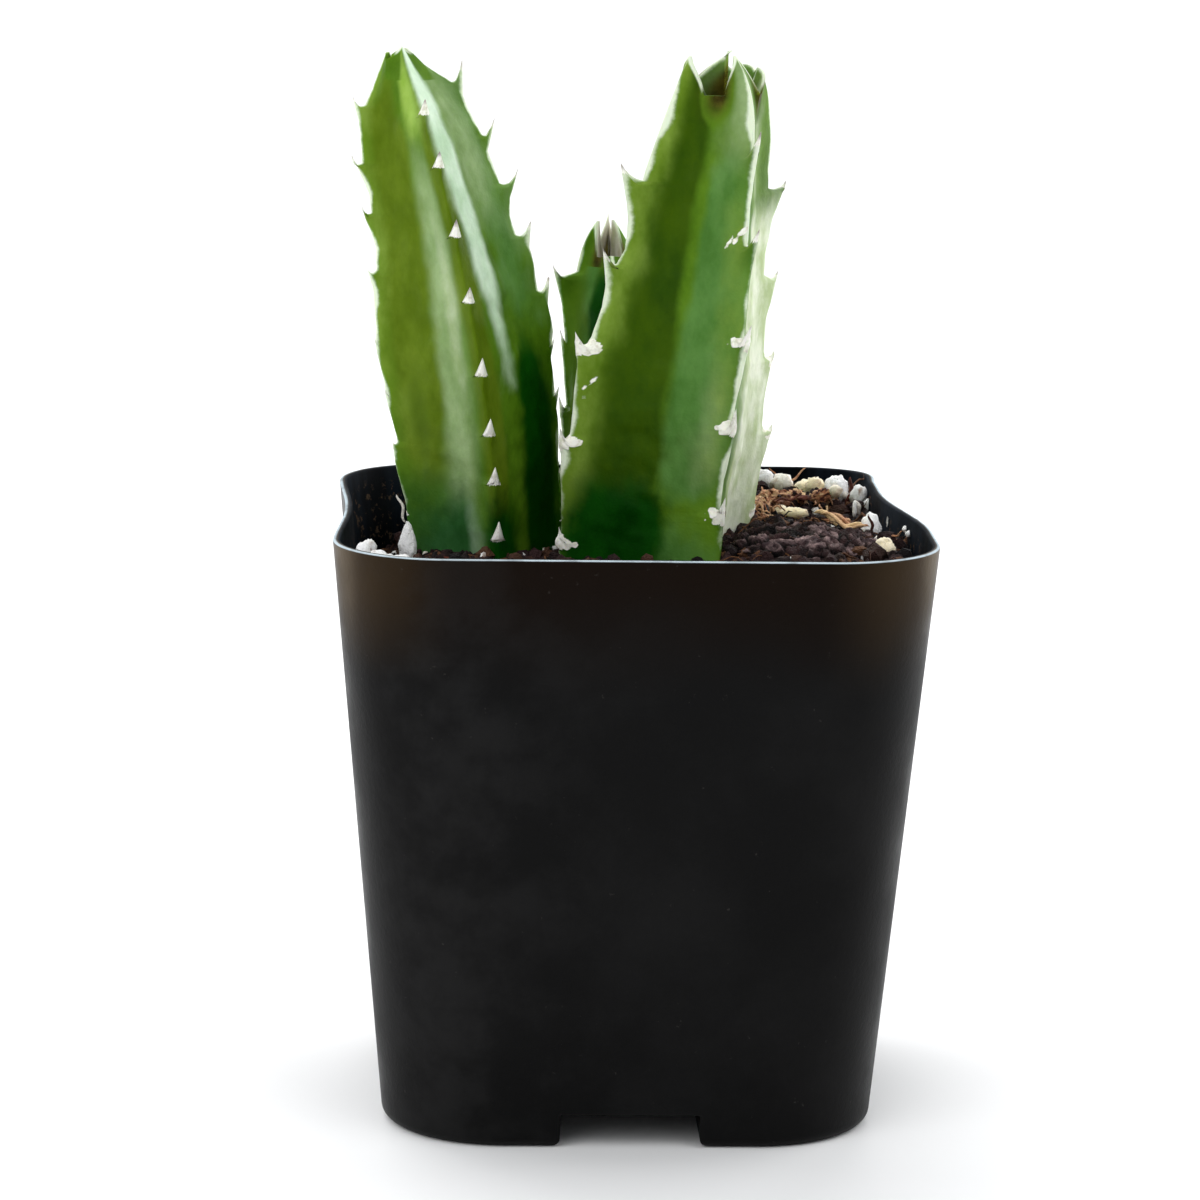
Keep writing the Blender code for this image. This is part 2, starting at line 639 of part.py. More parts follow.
def grow_teeth(name, spec):
    """One tooth at each node of each rib that clears the mix, and the crown's lobes."""
    teeth = new_collection(name + "_teeth")
    draw = random.Random(spec["seed"])
    lumps = soil_lumps()
    for rib, (low, high) in enumerate(spec["tooth_lengths"]):
        dx, dy = rib_direction(spec, rib)
        outward = Vector((dx, dy, 0.0))
        for i, z in enumerate(rib_nodes(spec, rib)):
            t = max(0.0, (z - SOIL_LEVEL) / (spec["top"] - SOIL_LEVEL))
            x, y = stem_axis(spec, t)
            base = Vector((x, y, z)) + outward * crest_radius(spec, rib, z)
            length = (low + (high - low) * t) * draw.uniform(1.0 - LENGTH_SPREAD, 1.0 + LENGTH_SPREAD) * MM
            rise = math.radians(tooth_rise(t) + draw.uniform(-RISE_SPREAD, RISE_SPREAD))
            if z < soil_height(base.x, base.y, lumps) + TOOTH_CLEARANCE:
                continue
            tip = base + (outward * math.cos(rise) + Vector((0.0, 0.0, 1.0)) * math.sin(rise)) * length
            label = "%s_tooth_%d_%d" % (name, rib, i)
            add_tooth(label, base, tip, outward, spec["tooth_half"], TOOTH_SIZES, TOOTH_ROOT, teeth)
    grow_crown(name, spec, teeth)
    return teeth


def make_stem(name, parts, sockets):
    """One stem with its teeth fused on, and the cutter of its hole in the mix."""
    spec = STEMS[name]
    stem = stem_body(name, spec, parts)
    boolean(stem, "UNION", grow_teeth(name, spec), "MANIFOLD")
    stem.data.materials.clear()
    stem.data.materials.append(material(name + "_skin", STEM_FINISH))
    soften(stem)
    stem_body(name + "_socket", spec, sockets, grow=STEM_SOCKET_GROWTH, top=SOIL_LEVEL + SOCKET_TOP)


# Grains

def grain(name, place, half_sizes, turn, collection, grow, seed, finish=None):
    """An irregular lump: a coarse round mesh with seeded dents, stretched to size and turned."""
    draw = random.Random(seed)
    bm = bmesh.new()
    bmesh.ops.create_icosphere(bm, subdivisions=2, radius=1.0)
    for vert in bm.verts:
        vert.co *= 1.0 + draw.uniform(-GRAIN_DENT, GRAIN_BUMP)
    for vert in bm.verts:
        sized = Vector((vert.co[i] * half_sizes[i] * MM for i in range(3)))
        vert.co = sized + sized.normalized() * grow
    bmesh.ops.rotate(bm, matrix=Matrix.Rotation(math.radians(turn), 3, "Z"), verts=bm.verts)
    bmesh.ops.translate(bm, vec=[value * MM for value in place], verts=bm.verts)
    return object_from(bm, name, collection, finish)


def make_grains(pieces, finish, parts, sockets, first_seed):
    """Each grain and its slightly larger socket in the mix."""
    for i, (name, (place, half_sizes, turn)) in enumerate(pieces.items()):
        seed = first_seed + i
        made = grain(name, place, half_sizes, turn, parts, 0.0, seed, finish)
        soften(made, 50.0)
        grain(name + "_socket", place, half_sizes, turn, sockets, GRAIN_SOCKET_GROWTH, seed)


def main():
    clear_scene()
    parts = new_collection("potted_stapelia")
    sockets = new_collection("sockets")
    for name in STEMS:
        make_stem(name, parts, sockets)
    make_grains(PERLITE, material("perlite", PERLITE_FINISH), parts, sockets, 20)
    make_grains(BARK, material("bark", BARK_FINISH), parts, sockets, 40)
    make_soil(parts, sockets)
    make_pot(parts)


main()
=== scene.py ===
"""The finish of a potted stapelia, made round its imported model: skin, teeth, mix, grains, pot and light.

Lengths are in metres. Sizes of the stems, pot and mix repeat the model's own driving dimensions.
"""

import math
import random

import bmesh
import bpy
import numpy as np
from mathutils import Matrix, Vector


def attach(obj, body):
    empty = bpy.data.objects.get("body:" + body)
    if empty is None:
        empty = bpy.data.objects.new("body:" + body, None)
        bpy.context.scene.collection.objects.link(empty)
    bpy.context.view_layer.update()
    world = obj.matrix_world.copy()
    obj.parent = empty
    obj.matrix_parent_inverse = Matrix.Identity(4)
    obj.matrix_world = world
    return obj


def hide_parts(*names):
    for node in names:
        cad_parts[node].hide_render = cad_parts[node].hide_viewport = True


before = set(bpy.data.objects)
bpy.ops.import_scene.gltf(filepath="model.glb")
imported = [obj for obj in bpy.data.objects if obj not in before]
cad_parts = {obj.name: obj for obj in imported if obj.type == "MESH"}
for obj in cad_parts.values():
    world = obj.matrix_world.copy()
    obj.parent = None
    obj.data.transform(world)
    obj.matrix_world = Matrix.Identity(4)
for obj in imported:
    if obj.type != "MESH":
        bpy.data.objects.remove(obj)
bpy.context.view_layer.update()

MM = 0.001

# The pot
RIM_HALF = 31.75 * MM
BASE_HALF = 26.2 * MM
POT_HEIGHT = 64.0 * MM
RIM_CORNER = 11.9 * MM
BASE_CORNER = 12.9 * MM
WALL = 0.8 * MM
LIP_ROUND = 0.22 * MM
BASE_ROUND = 1.4 * MM
CHANNEL_HALF = 7.4 * MM
CHANNEL_HEIGHT = 3.75 * MM
CHANNEL_EDGE = 0.2 * MM
FOOT_ROUND = 1.1 * MM
LEFT_BOW = 0.9 * MM
RIGHT_PRESS = 3.15 * MM
PRESS_START = (-12.0 * MM, 14.0 * MM)
PRESS_END = (20.5 * MM, 30.5 * MM)
BOW_START = 30.0 * MM
HOLE_RADIUS = 3.5 * MM
HOLE_OUT = 15.0 * MM
HOLE_SIDES = 48
STRAIGHT_HOLD = 9.6 * MM
STRAIGHT_BASE = BASE_HALF - BASE_CORNER
# Stations on one half of a side: over the channel, along the foot and round the corner
STATION_COUNTS = (10, 6, 18)
# Rings round the foot, up the wall, over the lip, down the inside and round its bottom
FOOT_RINGS, WALL_RINGS, LIP_RINGS, INSIDE_RINGS, BOTTOM_RINGS = 8, 60, 13, 30, 5
# Shallow dents in the front wall: across, height, radius, depth
DENTS = ((-9.2, 26.8, 1.7, 0.16), (-5.0, 11.4, 1.5, 0.16), (-7.4, 33.0, 1.1, 0.08), (-14.5, 52.0, 6.0, 0.10))

# The potting mix. A slope is where it starts, where it ends and how much it adds.
GAP = 0.3 * MM
SOIL_LEVEL = 59.6 * MM
SOIL_SLOPE_RIGHT = (4.0 * MM, 16.0 * MM, 1.9 * MM)
SOIL_SLOPE_CORNER = ((6.0 * MM, 16.0 * MM), (10.0 * MM, 24.0 * MM), 1.3 * MM)
SOIL_SLOPE_LEFT = ((21.0 * MM, 27.0 * MM), (-22.0 * MM, 2.0 * MM), -5.2 * MM)
SOIL_SLOPE_FRONT_LEFT = ((21.0 * MM, 27.0 * MM), (14.0 * MM, 22.0 * MM), 1.6 * MM)
SOIL_LUMPS = 46
LUMP_SPREAD = 29.0 * MM
LUMP_RADIUS = (2.2 * MM, 4.2 * MM)
LUMP_HEIGHT = (-0.75 * MM, 0.95 * MM)
PEAT_LUMP = (18.0 * MM, -5.0 * MM, 6.5 * MM, 1.3 * MM)
HOLLOW = (23.5 * MM, 15.5 * MM, 2.8 * MM, -2.6 * MM)
# The least gap between a loose piece of the mix and the inside of the pot's wall
WALL_GAP = 0.12 * MM
# Where the mix's underside falls from the channel to the foot, from the pot's middle line
CHANNEL_FALL = (8.7 * MM, 9.6 * MM)
# How far out a thread may wander, and the share of a stem's foot that loose pieces keep clear of
THREAD_REACH = 29.6 * MM
CLEAR_SHARE = 0.72
# Seeded pieces on the mix: how many of each kind at most, and how far out they lie
CRUMB_SPOTS = (1500, 29.0 * MM)
FIBRE_SPOTS = (300, 28.0 * MM)
PERLITE_SPOTS = (130, 28.6 * MM)
SPLINTER_SPOTS = (90, 28.0 * MM)
# Where the finished surface lies lower than the model's, so that its grains stand out: middle, radius, depth.
# The second to the fourth are also painted black as shade.
SINKS = (
    (22.0 * MM, 16.0 * MM, 9.0 * MM, 0.9 * MM),
    (21.3 * MM, 13.2 * MM, 2.3 * MM, 2.3 * MM),
    (28.6 * MM, -10.0 * MM, 2.2 * MM, 1.8 * MM),
    (28.0 * MM, 6.0 * MM, 4.0 * MM, 1.0 * MM),
    (20.0 * MM, 26.5 * MM, 4.5 * MM, 1.3 * MM),
)
SOIL_SEED = 11
SOIL_STATIONS = 150
SOIL_RINGS = 14
SOIL_ROUGHNESS = 0.34 * MM

# The stems
STUB_DEPTH = 16.0 * MM
STUB_SHARE = 0.66
SOIL_COLLAR = 1.6 * MM
FACE_POWER = 0.86
CREST_ROUND = 0.0006
CREST_HOLD = 8
STUB_BLEND = 3.0 * MM
NODE_FALL = 1.1 * MM
NODE_RISE_POWER = 1.6
SWELL_MIDDLE = 0.35
RIB_COLUMNS = 60
COLUMN_POWER = 1.5
STUB_ROWS = 10
SHADE_DROP = 5.0 * MM
CALLUS_HALF = 0.85 * MM
CALLUS_DEPTH = 0.2 * MM
STEM_ROWS = 300
TOOTH_CLEARANCE = 0.4 * MM
RISE_LOW = 80.0
RISE_MIDDLE = 74.0
RISE_TIP = 80.0
LENGTH_SPREAD = 0.12
RISE_SPREAD = 7.0
STEP_SPREAD = 2.4 * MM
STEP_HALF = 1.0 * MM
CROWN_ROWS = 30
FOLD_ROWS = 18
RIM_THICKNESS = 0.32 * MM
TIP_POWER = 0.55
# Rows crowd below each node: how much, how far below it and over what half height
ROW_CROWDING = 3.4
CROWD_BELOW = 0.5 * MM
CROWD_HALF = 1.1 * MM
# The skin's soft dents: their depth, their length and the height over which they fade at either end
DENT_DEPTH = 0.13 * MM
DENT_LENGTH = 7.0 * MM
DENT_FADE = 4.0 * MM
# The width of a face between two ribs, in millimetres
FACE_WIDTH = 15.0
# The brown in each valley outside the crown, partly dry tissue and partly painted shade: its middle and
# half width on each face. The brown inside, partly painted shade too: the same in ribs.
DRY_SHADED_VALLEY_MIDDLE, DRY_SHADED_VALLEY_HALF = 0.52, 0.26
BROWN_MIDDLE, BROWN_HALF = 2.9, 0.45
# How softly a band of colour starts and ends, as a share of the stem's height
BAND_SOFTNESS = 0.12
# Doubles closer than this are merged
MERGE_WITHIN = 1e-7

# Each stem's ribs are listed from the one nearest -X round by the front. Node heights and tooth lengths are
# in millimetres. A crest is a rib's outline where it isn't the plain saw-tooth: heights and distances from
# the axis. A tooth's foot is its half width on each rib, then its reach below the node and above it. A tooth
# is white from one share of its length at the foot of the stem and from another at its tip. A crown starts
# at a height and sinks to a rim (height and share of the stem's width) and a floor; each of its tips is a
# distance from the axis, a height, a half width in ribs before and after, and the power by which it leans
# in. A hollow has the strengths of its brown, which is partly dry tissue and partly painted shade, its pale
# rim, which is a painted highlight along the young tips' margins, and its papery inside. Calluses, tooth
# shades and crest lines are strengths on each rib; the tooth shades are painted shade, and the pale crest
# lines are partly the skin's pale rib edges and partly a painted rim light. A band of colour is its kind,
# its place round the stem in ribs at the foot and at the tip, its half width in ribs, the heights as shares
# of the stem where it starts and ends, and its strength. The pale and mint bands are painted highlights,
# the sage bands are partly painted highlights, and the deep bands are painted shade. A fleck is its place
# round the stem in ribs, then its height, half width, half height and slant in millimetres, and its strength.
STEMS = {
    "stem_left": {
        "foot": (-14.95 * MM, 0.5 * MM),
        "tip": (-25.1 * MM, 0.5 * MM),
        "top": 113.1 * MM,
        "bow": 0.63,
        "foot_radius": 7.8 * MM,
        "belly_radius": 9.6 * MM,
        "belly_at": 0.42,
        "taper": 0.40,
        "cap_at": 0.80,
        "first_rib": -84.5,
        "rib_shares": (1.0, 1.0, 1.0, 1.0),
        "swell": 0.8 * MM,
        "nodes": (
            (63.1, 70.8, 76.2, 81.8, 89.3, 95.6, 100.9, 107.1),
            (61.6, 67.8, 73.1, 79.5, 87.2, 94.0, 101.2, 106.6),
            (62.4, 68.4, 76.0, 81.4, 87.3, 93.3, 98.8, 104.0, 109.7),
            (65.0, 71.2, 78.0, 84.6, 91.0, 98.0, 104.4),
        ),
        "crests": {
            0: (
                (58.0, 8.6), (65.0, 9.05), (69.2, 9.7), (70.8, 9.75), (71.3, 9.2), (75.1, 9.75),
                (79.5, 9.9), (81.8, 10.15), (83.8, 9.6), (88.0, 9.25), (89.3, 9.5), (89.9, 8.6),
                (92.1, 8.1), (94.5, 8.35), (95.6, 8.6), (96.0, 7.7), (98.0, 7.5), (100.2, 7.95),
                (101.0, 8.4), (101.3, 7.5), (104.4, 6.85), (107.1, 6.5), (107.5, 5.5), (109.2, 4.25),
                (111.0, 3.1), (112.3, 1.6), (113.1, 0.4),
            ),
            2: (
                (58.0, 7.8), (68.0, 8.0), (73.0, 8.5), (80.5, 8.7), (83.3, 9.4), (87.2, 9.3),
                (87.7, 8.5), (91.7, 8.55), (93.3, 8.3), (93.7, 7.3), (95.7, 7.1), (97.6, 7.4),
                (98.8, 7.95), (99.2, 6.75), (102.7, 6.4), (104.0, 6.8), (104.4, 6.2), (107.2, 5.4),
                (109.7, 5.2), (110.0, 4.5), (111.0, 3.3), (112.9, 1.2), (113.1, 0.4),
            ),
        },
        "tooth_lengths": ((0.8, 1.5), (2.4, 2.2), (0.7, 2.9), (1.3, 2.2)),
        "tooth_foot": ((0.45 * MM, 0.92 * MM, 0.45 * MM, 0.5 * MM), 1.1 * MM, 0.34 * MM),
        "tooth_white": ((0.2, 0.6), (0.03, 0.2), (0.2, 0.6), (0.2, 0.6)),
        "callus": (0.0,) * 4,
        "flecks": (),
        "tooth_shade": (0.0, 0.45, 0.0, 0.3),
        "crown": (
            110.3 * MM,
            (112.5 * MM, 0.66),
            112.1 * MM,
            (
                (1.6, 113.2, 0.30, 0.25, 0.55),
                (0.3, 113.9, 0.60, 0.60, 0.55),
                (0.6, 113.6, 0.50, 0.50, 0.55),
                (0.5, 113.7, 0.50, 0.50, 0.55),
            ),
        ),
        "hollow": (0.0, 0.2, 0.0),
        "seed": 3,
        "crest_lines": (1.0, 0.0, 0.95, 0.6),
        "line_width": 0.30 * MM,
        "bands": (
            ("sage", 0.60, 0.86, 0.25, -0.2, 0.80, 1.1),
            ("sage", 1.60, 1.60, 0.40, 0.68, 1.2, 0.8),
            ("sage", 2.10, 2.10, 0.20, 0.50, 1.2, 0.6),
            ("pale", 0.76, 0.90, 0.11, 0.32, 0.72, 0.62),
            ("leaf", 0.00, 0.00, 0.12, 0.20, 1.2, 0.8),
            ("mint", 1.56, 1.10, 0.16, 0.50, 1.10, 1.15),
            ("mint", 1.50, 1.12, 0.13, 0.34, 0.62, 0.7),
            ("mint", 1.20, 1.18, 0.20, 0.78, 1.10, 0.8),
            ("mint", 0.78, 0.78, 0.15, -0.5, 0.11, 0.62),
            ("warm", 1.06, 1.00, 0.12, 0.02, 0.92, 1.1),
            ("warm", 0.26, 0.34, 0.34, 0.16, 0.95, 1.1),
            ("olive", 0.26, 0.24, 0.20, 0.16, 0.38, 0.45),
            ("lime", 0.84, 0.82, 0.22, 0.86, 1.0, 1.25),
            ("deep", 1.72, 1.66, 0.30, -0.5, 0.42, 1.0),
            ("deep", 1.10, 1.10, 0.30, -0.5, 0.13, 0.9),
            ("deep", 3.00, 3.00, 0.50, -0.5, 0.45, 0.8),
            ("dusk", 0.45, 0.45, 0.62, -0.5, 0.13, 1.1),
            ("cool", 1.75, 1.75, 0.40, 0.45, 1.0, 0.6),
        ),
    },
    "stem_right": {
        "foot": (1.8 * MM, -0.5 * MM),
        "tip": (9.4 * MM, -0.5 * MM),
        "top": 111.0 * MM,
        "bow": 0.0,
        "foot_radius": 11.7 * MM,
        "belly_radius": 12.4 * MM,
        "belly_at": 0.32,
        "taper": 0.56,
        "cap_at": 0.95,
        "first_rib": -56.5,
        "rib_shares": (1.04, 1.0, 1.08, 1.04),
        "swell": 1.2 * MM,
        "nodes": (
            (61.5, 72.4, 82.6, 91.0, 99.9),
            (65.0, 74.4, 83.3, 93.3, 102.9),
            (62.8, 71.6, 79.7, 88.4, 98.2),
            (66.0, 75.4, 85.4, 95.6, 104.4),
        ),
        "crests": {
            0: (
                (58.0, 11.3), (64.2, 12.0), (69.1, 13.1), (72.4, 13.6), (73.2, 12.7), (76.7, 13.0),
                (80.6, 13.3), (82.6, 13.5), (83.1, 12.2), (85.4, 11.6), (87.0, 11.2), (91.0, 11.4),
                (91.5, 10.3), (93.0, 9.45), (96.6, 9.8), (99.9, 10.75), (100.2, 8.65), (103.1, 8.1),
                (106.5, 7.25), (108.8, 6.8), (111.0, 1.0),
            ),
            1: (
                (58.0, 13.4), (61.0, 13.0), (65.0, 12.4), (65.4, 11.7), (69.0, 11.4), (74.4, 11.9),
                (74.8, 11.2), (78.0, 11.3), (83.3, 11.7), (83.8, 10.8), (89.2, 10.1), (93.3, 10.2),
                (93.8, 8.7), (98.0, 8.0), (102.9, 8.0), (103.4, 7.2), (107.0, 6.3), (108.8, 5.7),
                (111.0, 1.0),
            ),
            2: (
                (58.0, 13.9), (67.9, 13.9), (71.6, 14.5), (72.1, 13.1), (75.0, 12.75), (79.7, 12.95),
                (80.2, 11.6), (84.4, 11.2), (88.4, 11.65), (89.2, 9.75), (91.7, 9.45), (95.6, 9.75),
                (98.2, 10.6), (98.7, 8.4), (100.9, 7.95), (104.0, 7.6), (106.2, 7.1), (108.8, 6.1),
                (111.0, 1.0),
            ),
        },
        "tooth_lengths": ((2.0, 2.6), (2.4, 3.3), (0.9, 1.5), (1.6, 2.4)),
        "tooth_foot": ((0.75 * MM, 0.8 * MM, 0.6 * MM, 0.7 * MM), 2.2 * MM, 0.5 * MM),
        "tooth_white": ((0.1, 0.6), (0.1, 0.55), (0.2, 0.5), (0.2, 0.6)),
        "callus": (1.0, 1.0, 0.6, 0.5),
        "flecks": (
            (0.05, 78.9, 0.18, 0.9, 0.40, 0.8),
            (0.04, 77.4, 0.26, 0.3, 0.0, 0.6),
            (0.88, 94.0, 0.20, 0.9, 0.55, 0.75),
            (0.93, 94.4, 0.24, 1.2, 0.50, 0.8),
            (0.97, 95.2, 0.30, 1.1, 0.60, 0.8),
        ),
        "tooth_shade": (0.5, 0.9, 0.3, 0.3),
        "crown": (
            106.0 * MM,
            (109.3 * MM, 0.92),
            108.0 * MM,
            (
                (4.75, 113.4, 0.32, 0.24, 0.55),
                (1.75, 113.4, 0.40, 0.40, 0.55),
                (4.60, 111.9, 0.40, 0.32, 0.55),
                (-1.3, 113.9, 0.90, 0.50, 0.95),
            ),
        ),
        "hollow": (1.0, 0.7, 0.08),
        "seed": 8,
        "crest_lines": (1.0, 1.0, 1.0, 0.9),
        "line_width": 0.36 * MM,
        "bands": (
            ("olive", 0.32, 0.14, 0.30, -0.2, 1.20, 1.35),
            ("leaf", -0.02, 0.02, 0.13, -0.3, 1.2, 0.9),
            ("deep", 0.34, 0.34, 0.42, -0.5, 0.17, 1.1),
            ("sage", -0.02, -0.02, 0.10, -0.5, 0.24, 0.45),
            ("sage", 0.90, 0.90, 0.13, 0.16, 0.42, 0.6),
            ("cool", 0.76, 0.92, 0.28, 0.14, 0.85, 1.2),
            ("cool", 0.80, 0.80, 0.22, -0.5, 0.12, 0.8),
            ("leaf", 0.97, 0.97, 0.13, 0.16, 0.9, 0.55),
            ("sage", 0.95, 0.95, 0.34, 0.84, 1.2, 0.9),
            ("pale", 1.60, 1.60, 0.42, -0.3, 0.72, 1.4),
            ("pale", 1.85, 1.85, 0.25, -0.3, 0.72, 1.6),
            ("pale", 1.55, 1.55, 0.32, 0.70, 1.2, 0.7),
            ("deep", 2.60, 2.60, 0.40, -0.5, 0.60, 0.7),
            ("olive", 3.40, 3.40, 0.40, 0.10, 0.90, 0.8),
        ),
    },
    "stem_back": {
        "foot": (-2.0 * MM, 20.0 * MM),
        "tip": (-2.0 * MM, 20.0 * MM),
        "top": 91.8 * MM,
        "bow": 0.0,
        "foot_radius": 5.2 * MM,
        "belly_radius": 5.7 * MM,
        "belly_at": 0.30,
        "taper": 0.16,
        "cap_at": 0.66,
        "first_rib": -82.0,
        "rib_shares": (1.0, 1.0, 1.0, 1.0),
        "swell": 0.7 * MM,
        "nodes": (
            (64.6, 72.0, 79.3, 86.8),
            (66.8, 74.2, 81.6),
            (63.6, 71.0, 78.4, 85.8),
            (67.8, 75.2, 82.6),
        ),
        "crests": {
            0: (
                (58.0, 4.9), (64.6, 5.3), (65.0, 4.7), (72.0, 5.2), (72.4, 4.5), (79.3, 5.2),
                (79.8, 4.8), (83.8, 5.2), (86.8, 5.8), (87.2, 5.0), (87.6, 3.6), (88.7, 3.4),
                (90.5, 2.9), (91.8, 2.2),
            ),
        },
        "tooth_lengths": ((1.6, 2.3), (1.6, 2.4), (1.6, 2.3), (1.6, 2.3)),
        "tooth_foot": ((0.6 * MM,) * 4, 1.8 * MM, 0.42 * MM),
        "tooth_white": ((0.2, 0.5),) * 4,
        "callus": (0.4,) * 4,
        "flecks": (),
        "tooth_shade": (0.0, 0.3, 0.0, 0.3),
        "crown": (
            88.3 * MM,
            (89.4 * MM, 0.85),
            87.6 * MM,
            (
                (1.35, 93.3, 0.42, 0.40, 0.55),
                (2.30, 89.6, 0.40, 0.40, 0.55),
                (0.60, 93.4, 0.42, 0.42, 0.55),
                (0.40, 94.1, 0.46, 0.46, 0.55),
            ),
        ),
        "hollow": (1.0, 1.0, 0.9),
        "seed": 5,
        "crest_lines": (0.9, 0.7, 0.9, 0.8),
        "line_width": 0.28 * MM,
        "bands": (
            ("warm", 0.30, 0.30, 0.25, 0.10, 0.90, 0.5),
            ("deep", 0.75, 0.75, 0.35, -0.5, 0.90, 0.9),
            ("cool", 0.45, 0.45, 0.30, 0.50, 1.0, 0.8),
            ("pale", 1.80, 1.80, 0.30, 0.20, 1.0, 0.5),
            ("deep", 2.80, 2.80, 0.50, -0.5, 0.70, 0.7),
        ),
    },
}
# Bands of colour, each laid over the ones before it: kind, two clouded tints, scale, and the mask's edges.
# The pale and mint bands are painted highlights, the sage bands partly so, and the deep bands painted shade.
SKIN_BANDS = (
    ("cool", (66, 110, 40), (90, 134, 64), 230.0, 0.25, 0.75),
    ("sage", (118, 146, 88), (152, 176, 124), 200.0, 0.1, 1.0),
    ("warm", (78, 102, 6), (96, 120, 24), 260.0, 0.2, 0.8),
    ("olive", (38, 68, 0), (56, 84, 0), 200.0, 0.25, 0.75),
    ("leaf", (100, 132, 30), (124, 152, 60), 260.0, 0.1, 1.0),
    ("dusk", (34, 82, 34), (56, 106, 56), 220.0, 0.1, 1.0),
    ("deep", (2, 50, 0), (12, 72, 4), 220.0, 0.25, 0.75),
    ("lime", (128, 164, 56), (152, 184, 84), 300.0, 0.2, 0.9),
    ("pale", (166, 184, 132), (226, 232, 210), 240.0, 0.2, 1.25),
    ("mint", (180, 210, 174), (216, 236, 212), 300.0, 0.2, 0.9),
)
BAND_KINDS = tuple(band[0] for band in SKIN_BANDS)

# Loose pieces of the mix: middle, half sizes, turn about Z in degrees
PERLITE = {
    "perlite_1": ((-24.0, -3.9, 60.7), (1.1, 1.0, 2.5), 10.0),
    "perlite_2": ((24.3, 22.8, 62.7), (1.5, 1.4, 1.8), 35.0),
    "perlite_3": ((26.4, 1.5, 61.9), (1.2, 1.3, 1.9), -20.0),
    "perlite_4": ((26.6, -12.0, 61.6), (1.5, 1.2, 1.7), 15.0),
    "perlite_5": ((20.9, 25.0, 62.4), (1.6, 1.2, 1.2), 60.0),
    "perlite_6": ((-26.0, -22.5, 61.7), (1.5, 1.1, 1.2), 25.0),
}
BARK = {
    "bark_1": ((22.6, 8.2, 61.7), (2.6, 0.9, 0.9), -38.0),
    "bark_2": ((17.0, 20.5, 61.9), (1.9, 1.1, 0.8), 24.0),
}
CREAM_PERLITE = ("perlite_4", "perlite_5")
# How far a grain narrows towards its top
POINTED = {"perlite_1": 0.55, "perlite_3": 0.2}
# The tone in the middle of a bark chip, and how much it grows towards its right end
BARK_TONES = {"bark_1": (0.1, 0.9), "bark_2": (1.0, 0.3)}
# How the bark's streaks are squeezed along, across and up
BARK_GRAIN = np.array([1.0, 1.0, 3.0])
# The grains' rows and columns of points, and the number and sharpness of their knobs
GRAIN_SIZE = (56, 84)
GRAIN_KNOBS = 26
KNOB_SHARPNESS = 14.0

# The camera stands where the photograph was taken from. Its place is in millimetres, its turns in radians.
CAMERA_PLACE = (-21.8205, -525.1509, 151.3648)
CAMERA_YAW = 0.0357
CAMERA_PITCH = 0.1831
CAMERA_ROLL = 0.0151
CAMERA_LENS = 147.356
SENSOR_WIDTH = 36.0
# The floor's radius, and the spot among the stems that the soft boxes face
FLOOR_RADIUS = 8.0
LIT_SPOT = (0.0, 0.0, 0.05)


def smooth(value):
    """0 below 0, 1 above 1, and a smooth S between."""
    value = np.clip(value, 0.0, 1.0)
    return value * value * (3.0 - 2.0 * value)


def ramp(value, start, end):
    """0 before start, 1 past end, and smooth between."""
    return smooth((value - start) / (end - start))


def waves(points, length, seed):
    """A smooth noise between about -1 and 1: cosines of nearly one length in seeded directions, added up."""
    count = 14
    draw = np.random.default_rng(seed)
    ways = draw.normal(size=(count, 3))
    ways /= np.linalg.norm(ways, axis=1)[:, None]
    ways *= draw.uniform(0.7, 1.3, count)[:, None] * 2.0 * math.pi / length
    phases = draw.uniform(0.0, 2.0 * math.pi, count)
    return np.cos(points @ ways.T + phases).sum(-1) * math.sqrt(2.0 / count) * 0.7


def rough(points, length, seed, octaves=4):
    """Waves added up, each half as long as the last one and 0.55 times as high."""
    total = np.zeros(points.shape[:-1])
    for step in range(octaves):
        total += waves(points, length / 2.0**step, seed + step) * 0.55**step
    return total


def bell(far, half):
    """1 where far is 0, and falling off on both sides as a bell curve of that half width."""
    return np.exp(-((far / half) ** 2))


def mound(x, y, middle_x, middle_y, radius):
    """A round bell curve in a plane: 1 at its middle, and nearly 0 past twice its radius."""
    return np.exp(-((x - middle_x) ** 2 + (y - middle_y) ** 2) / radius**2)


def column(table, place):
    """The values at one place of every row of a table."""
    return np.array([row[place] for row in table])


# Meshes

def grid_faces(rows, columns, first=0, wrap=True):
    """Quads between neighbouring points of a grid that is counted row by row; wrap joins its last column."""
    across = columns if wrap else columns - 1
    row, column = np.meshgrid(np.arange(rows - 1), np.arange(across), indexing="ij")
    low_left = first + row * columns + column
    low_right = first + row * columns + (column + 1) % columns
    return np.stack([low_left, low_right, low_right + columns, low_left + columns], -1).reshape(-1, 4)


def repeated_faces(count, rows, columns):
    """The faces of that many grids of one size, counted one after another."""
    each = grid_faces(rows, columns)
    return (each[None] + (np.arange(count) * rows * columns)[:, None, None]).reshape(-1, 4)


def joined(first, first_faces, second, second_faces):
    """Two sets of points and their faces as one."""
    points = np.concatenate([first.reshape(-1, 3), second.reshape(-1, 3)])
    return points, np.concatenate([first_faces, second_faces + first.size // 3])


def for_each(values, points):
    """One value for each lump or thread, repeated at every point of it."""
    return np.broadcast_to(values[:, None, None], points.shape[:-1])


def put(name, data):
    """A new object in the scene that shows this mesh, camera or lamp."""
    made = bpy.data.objects.new(name, data)
    bpy.context.scene.collection.objects.link(made)
    return made


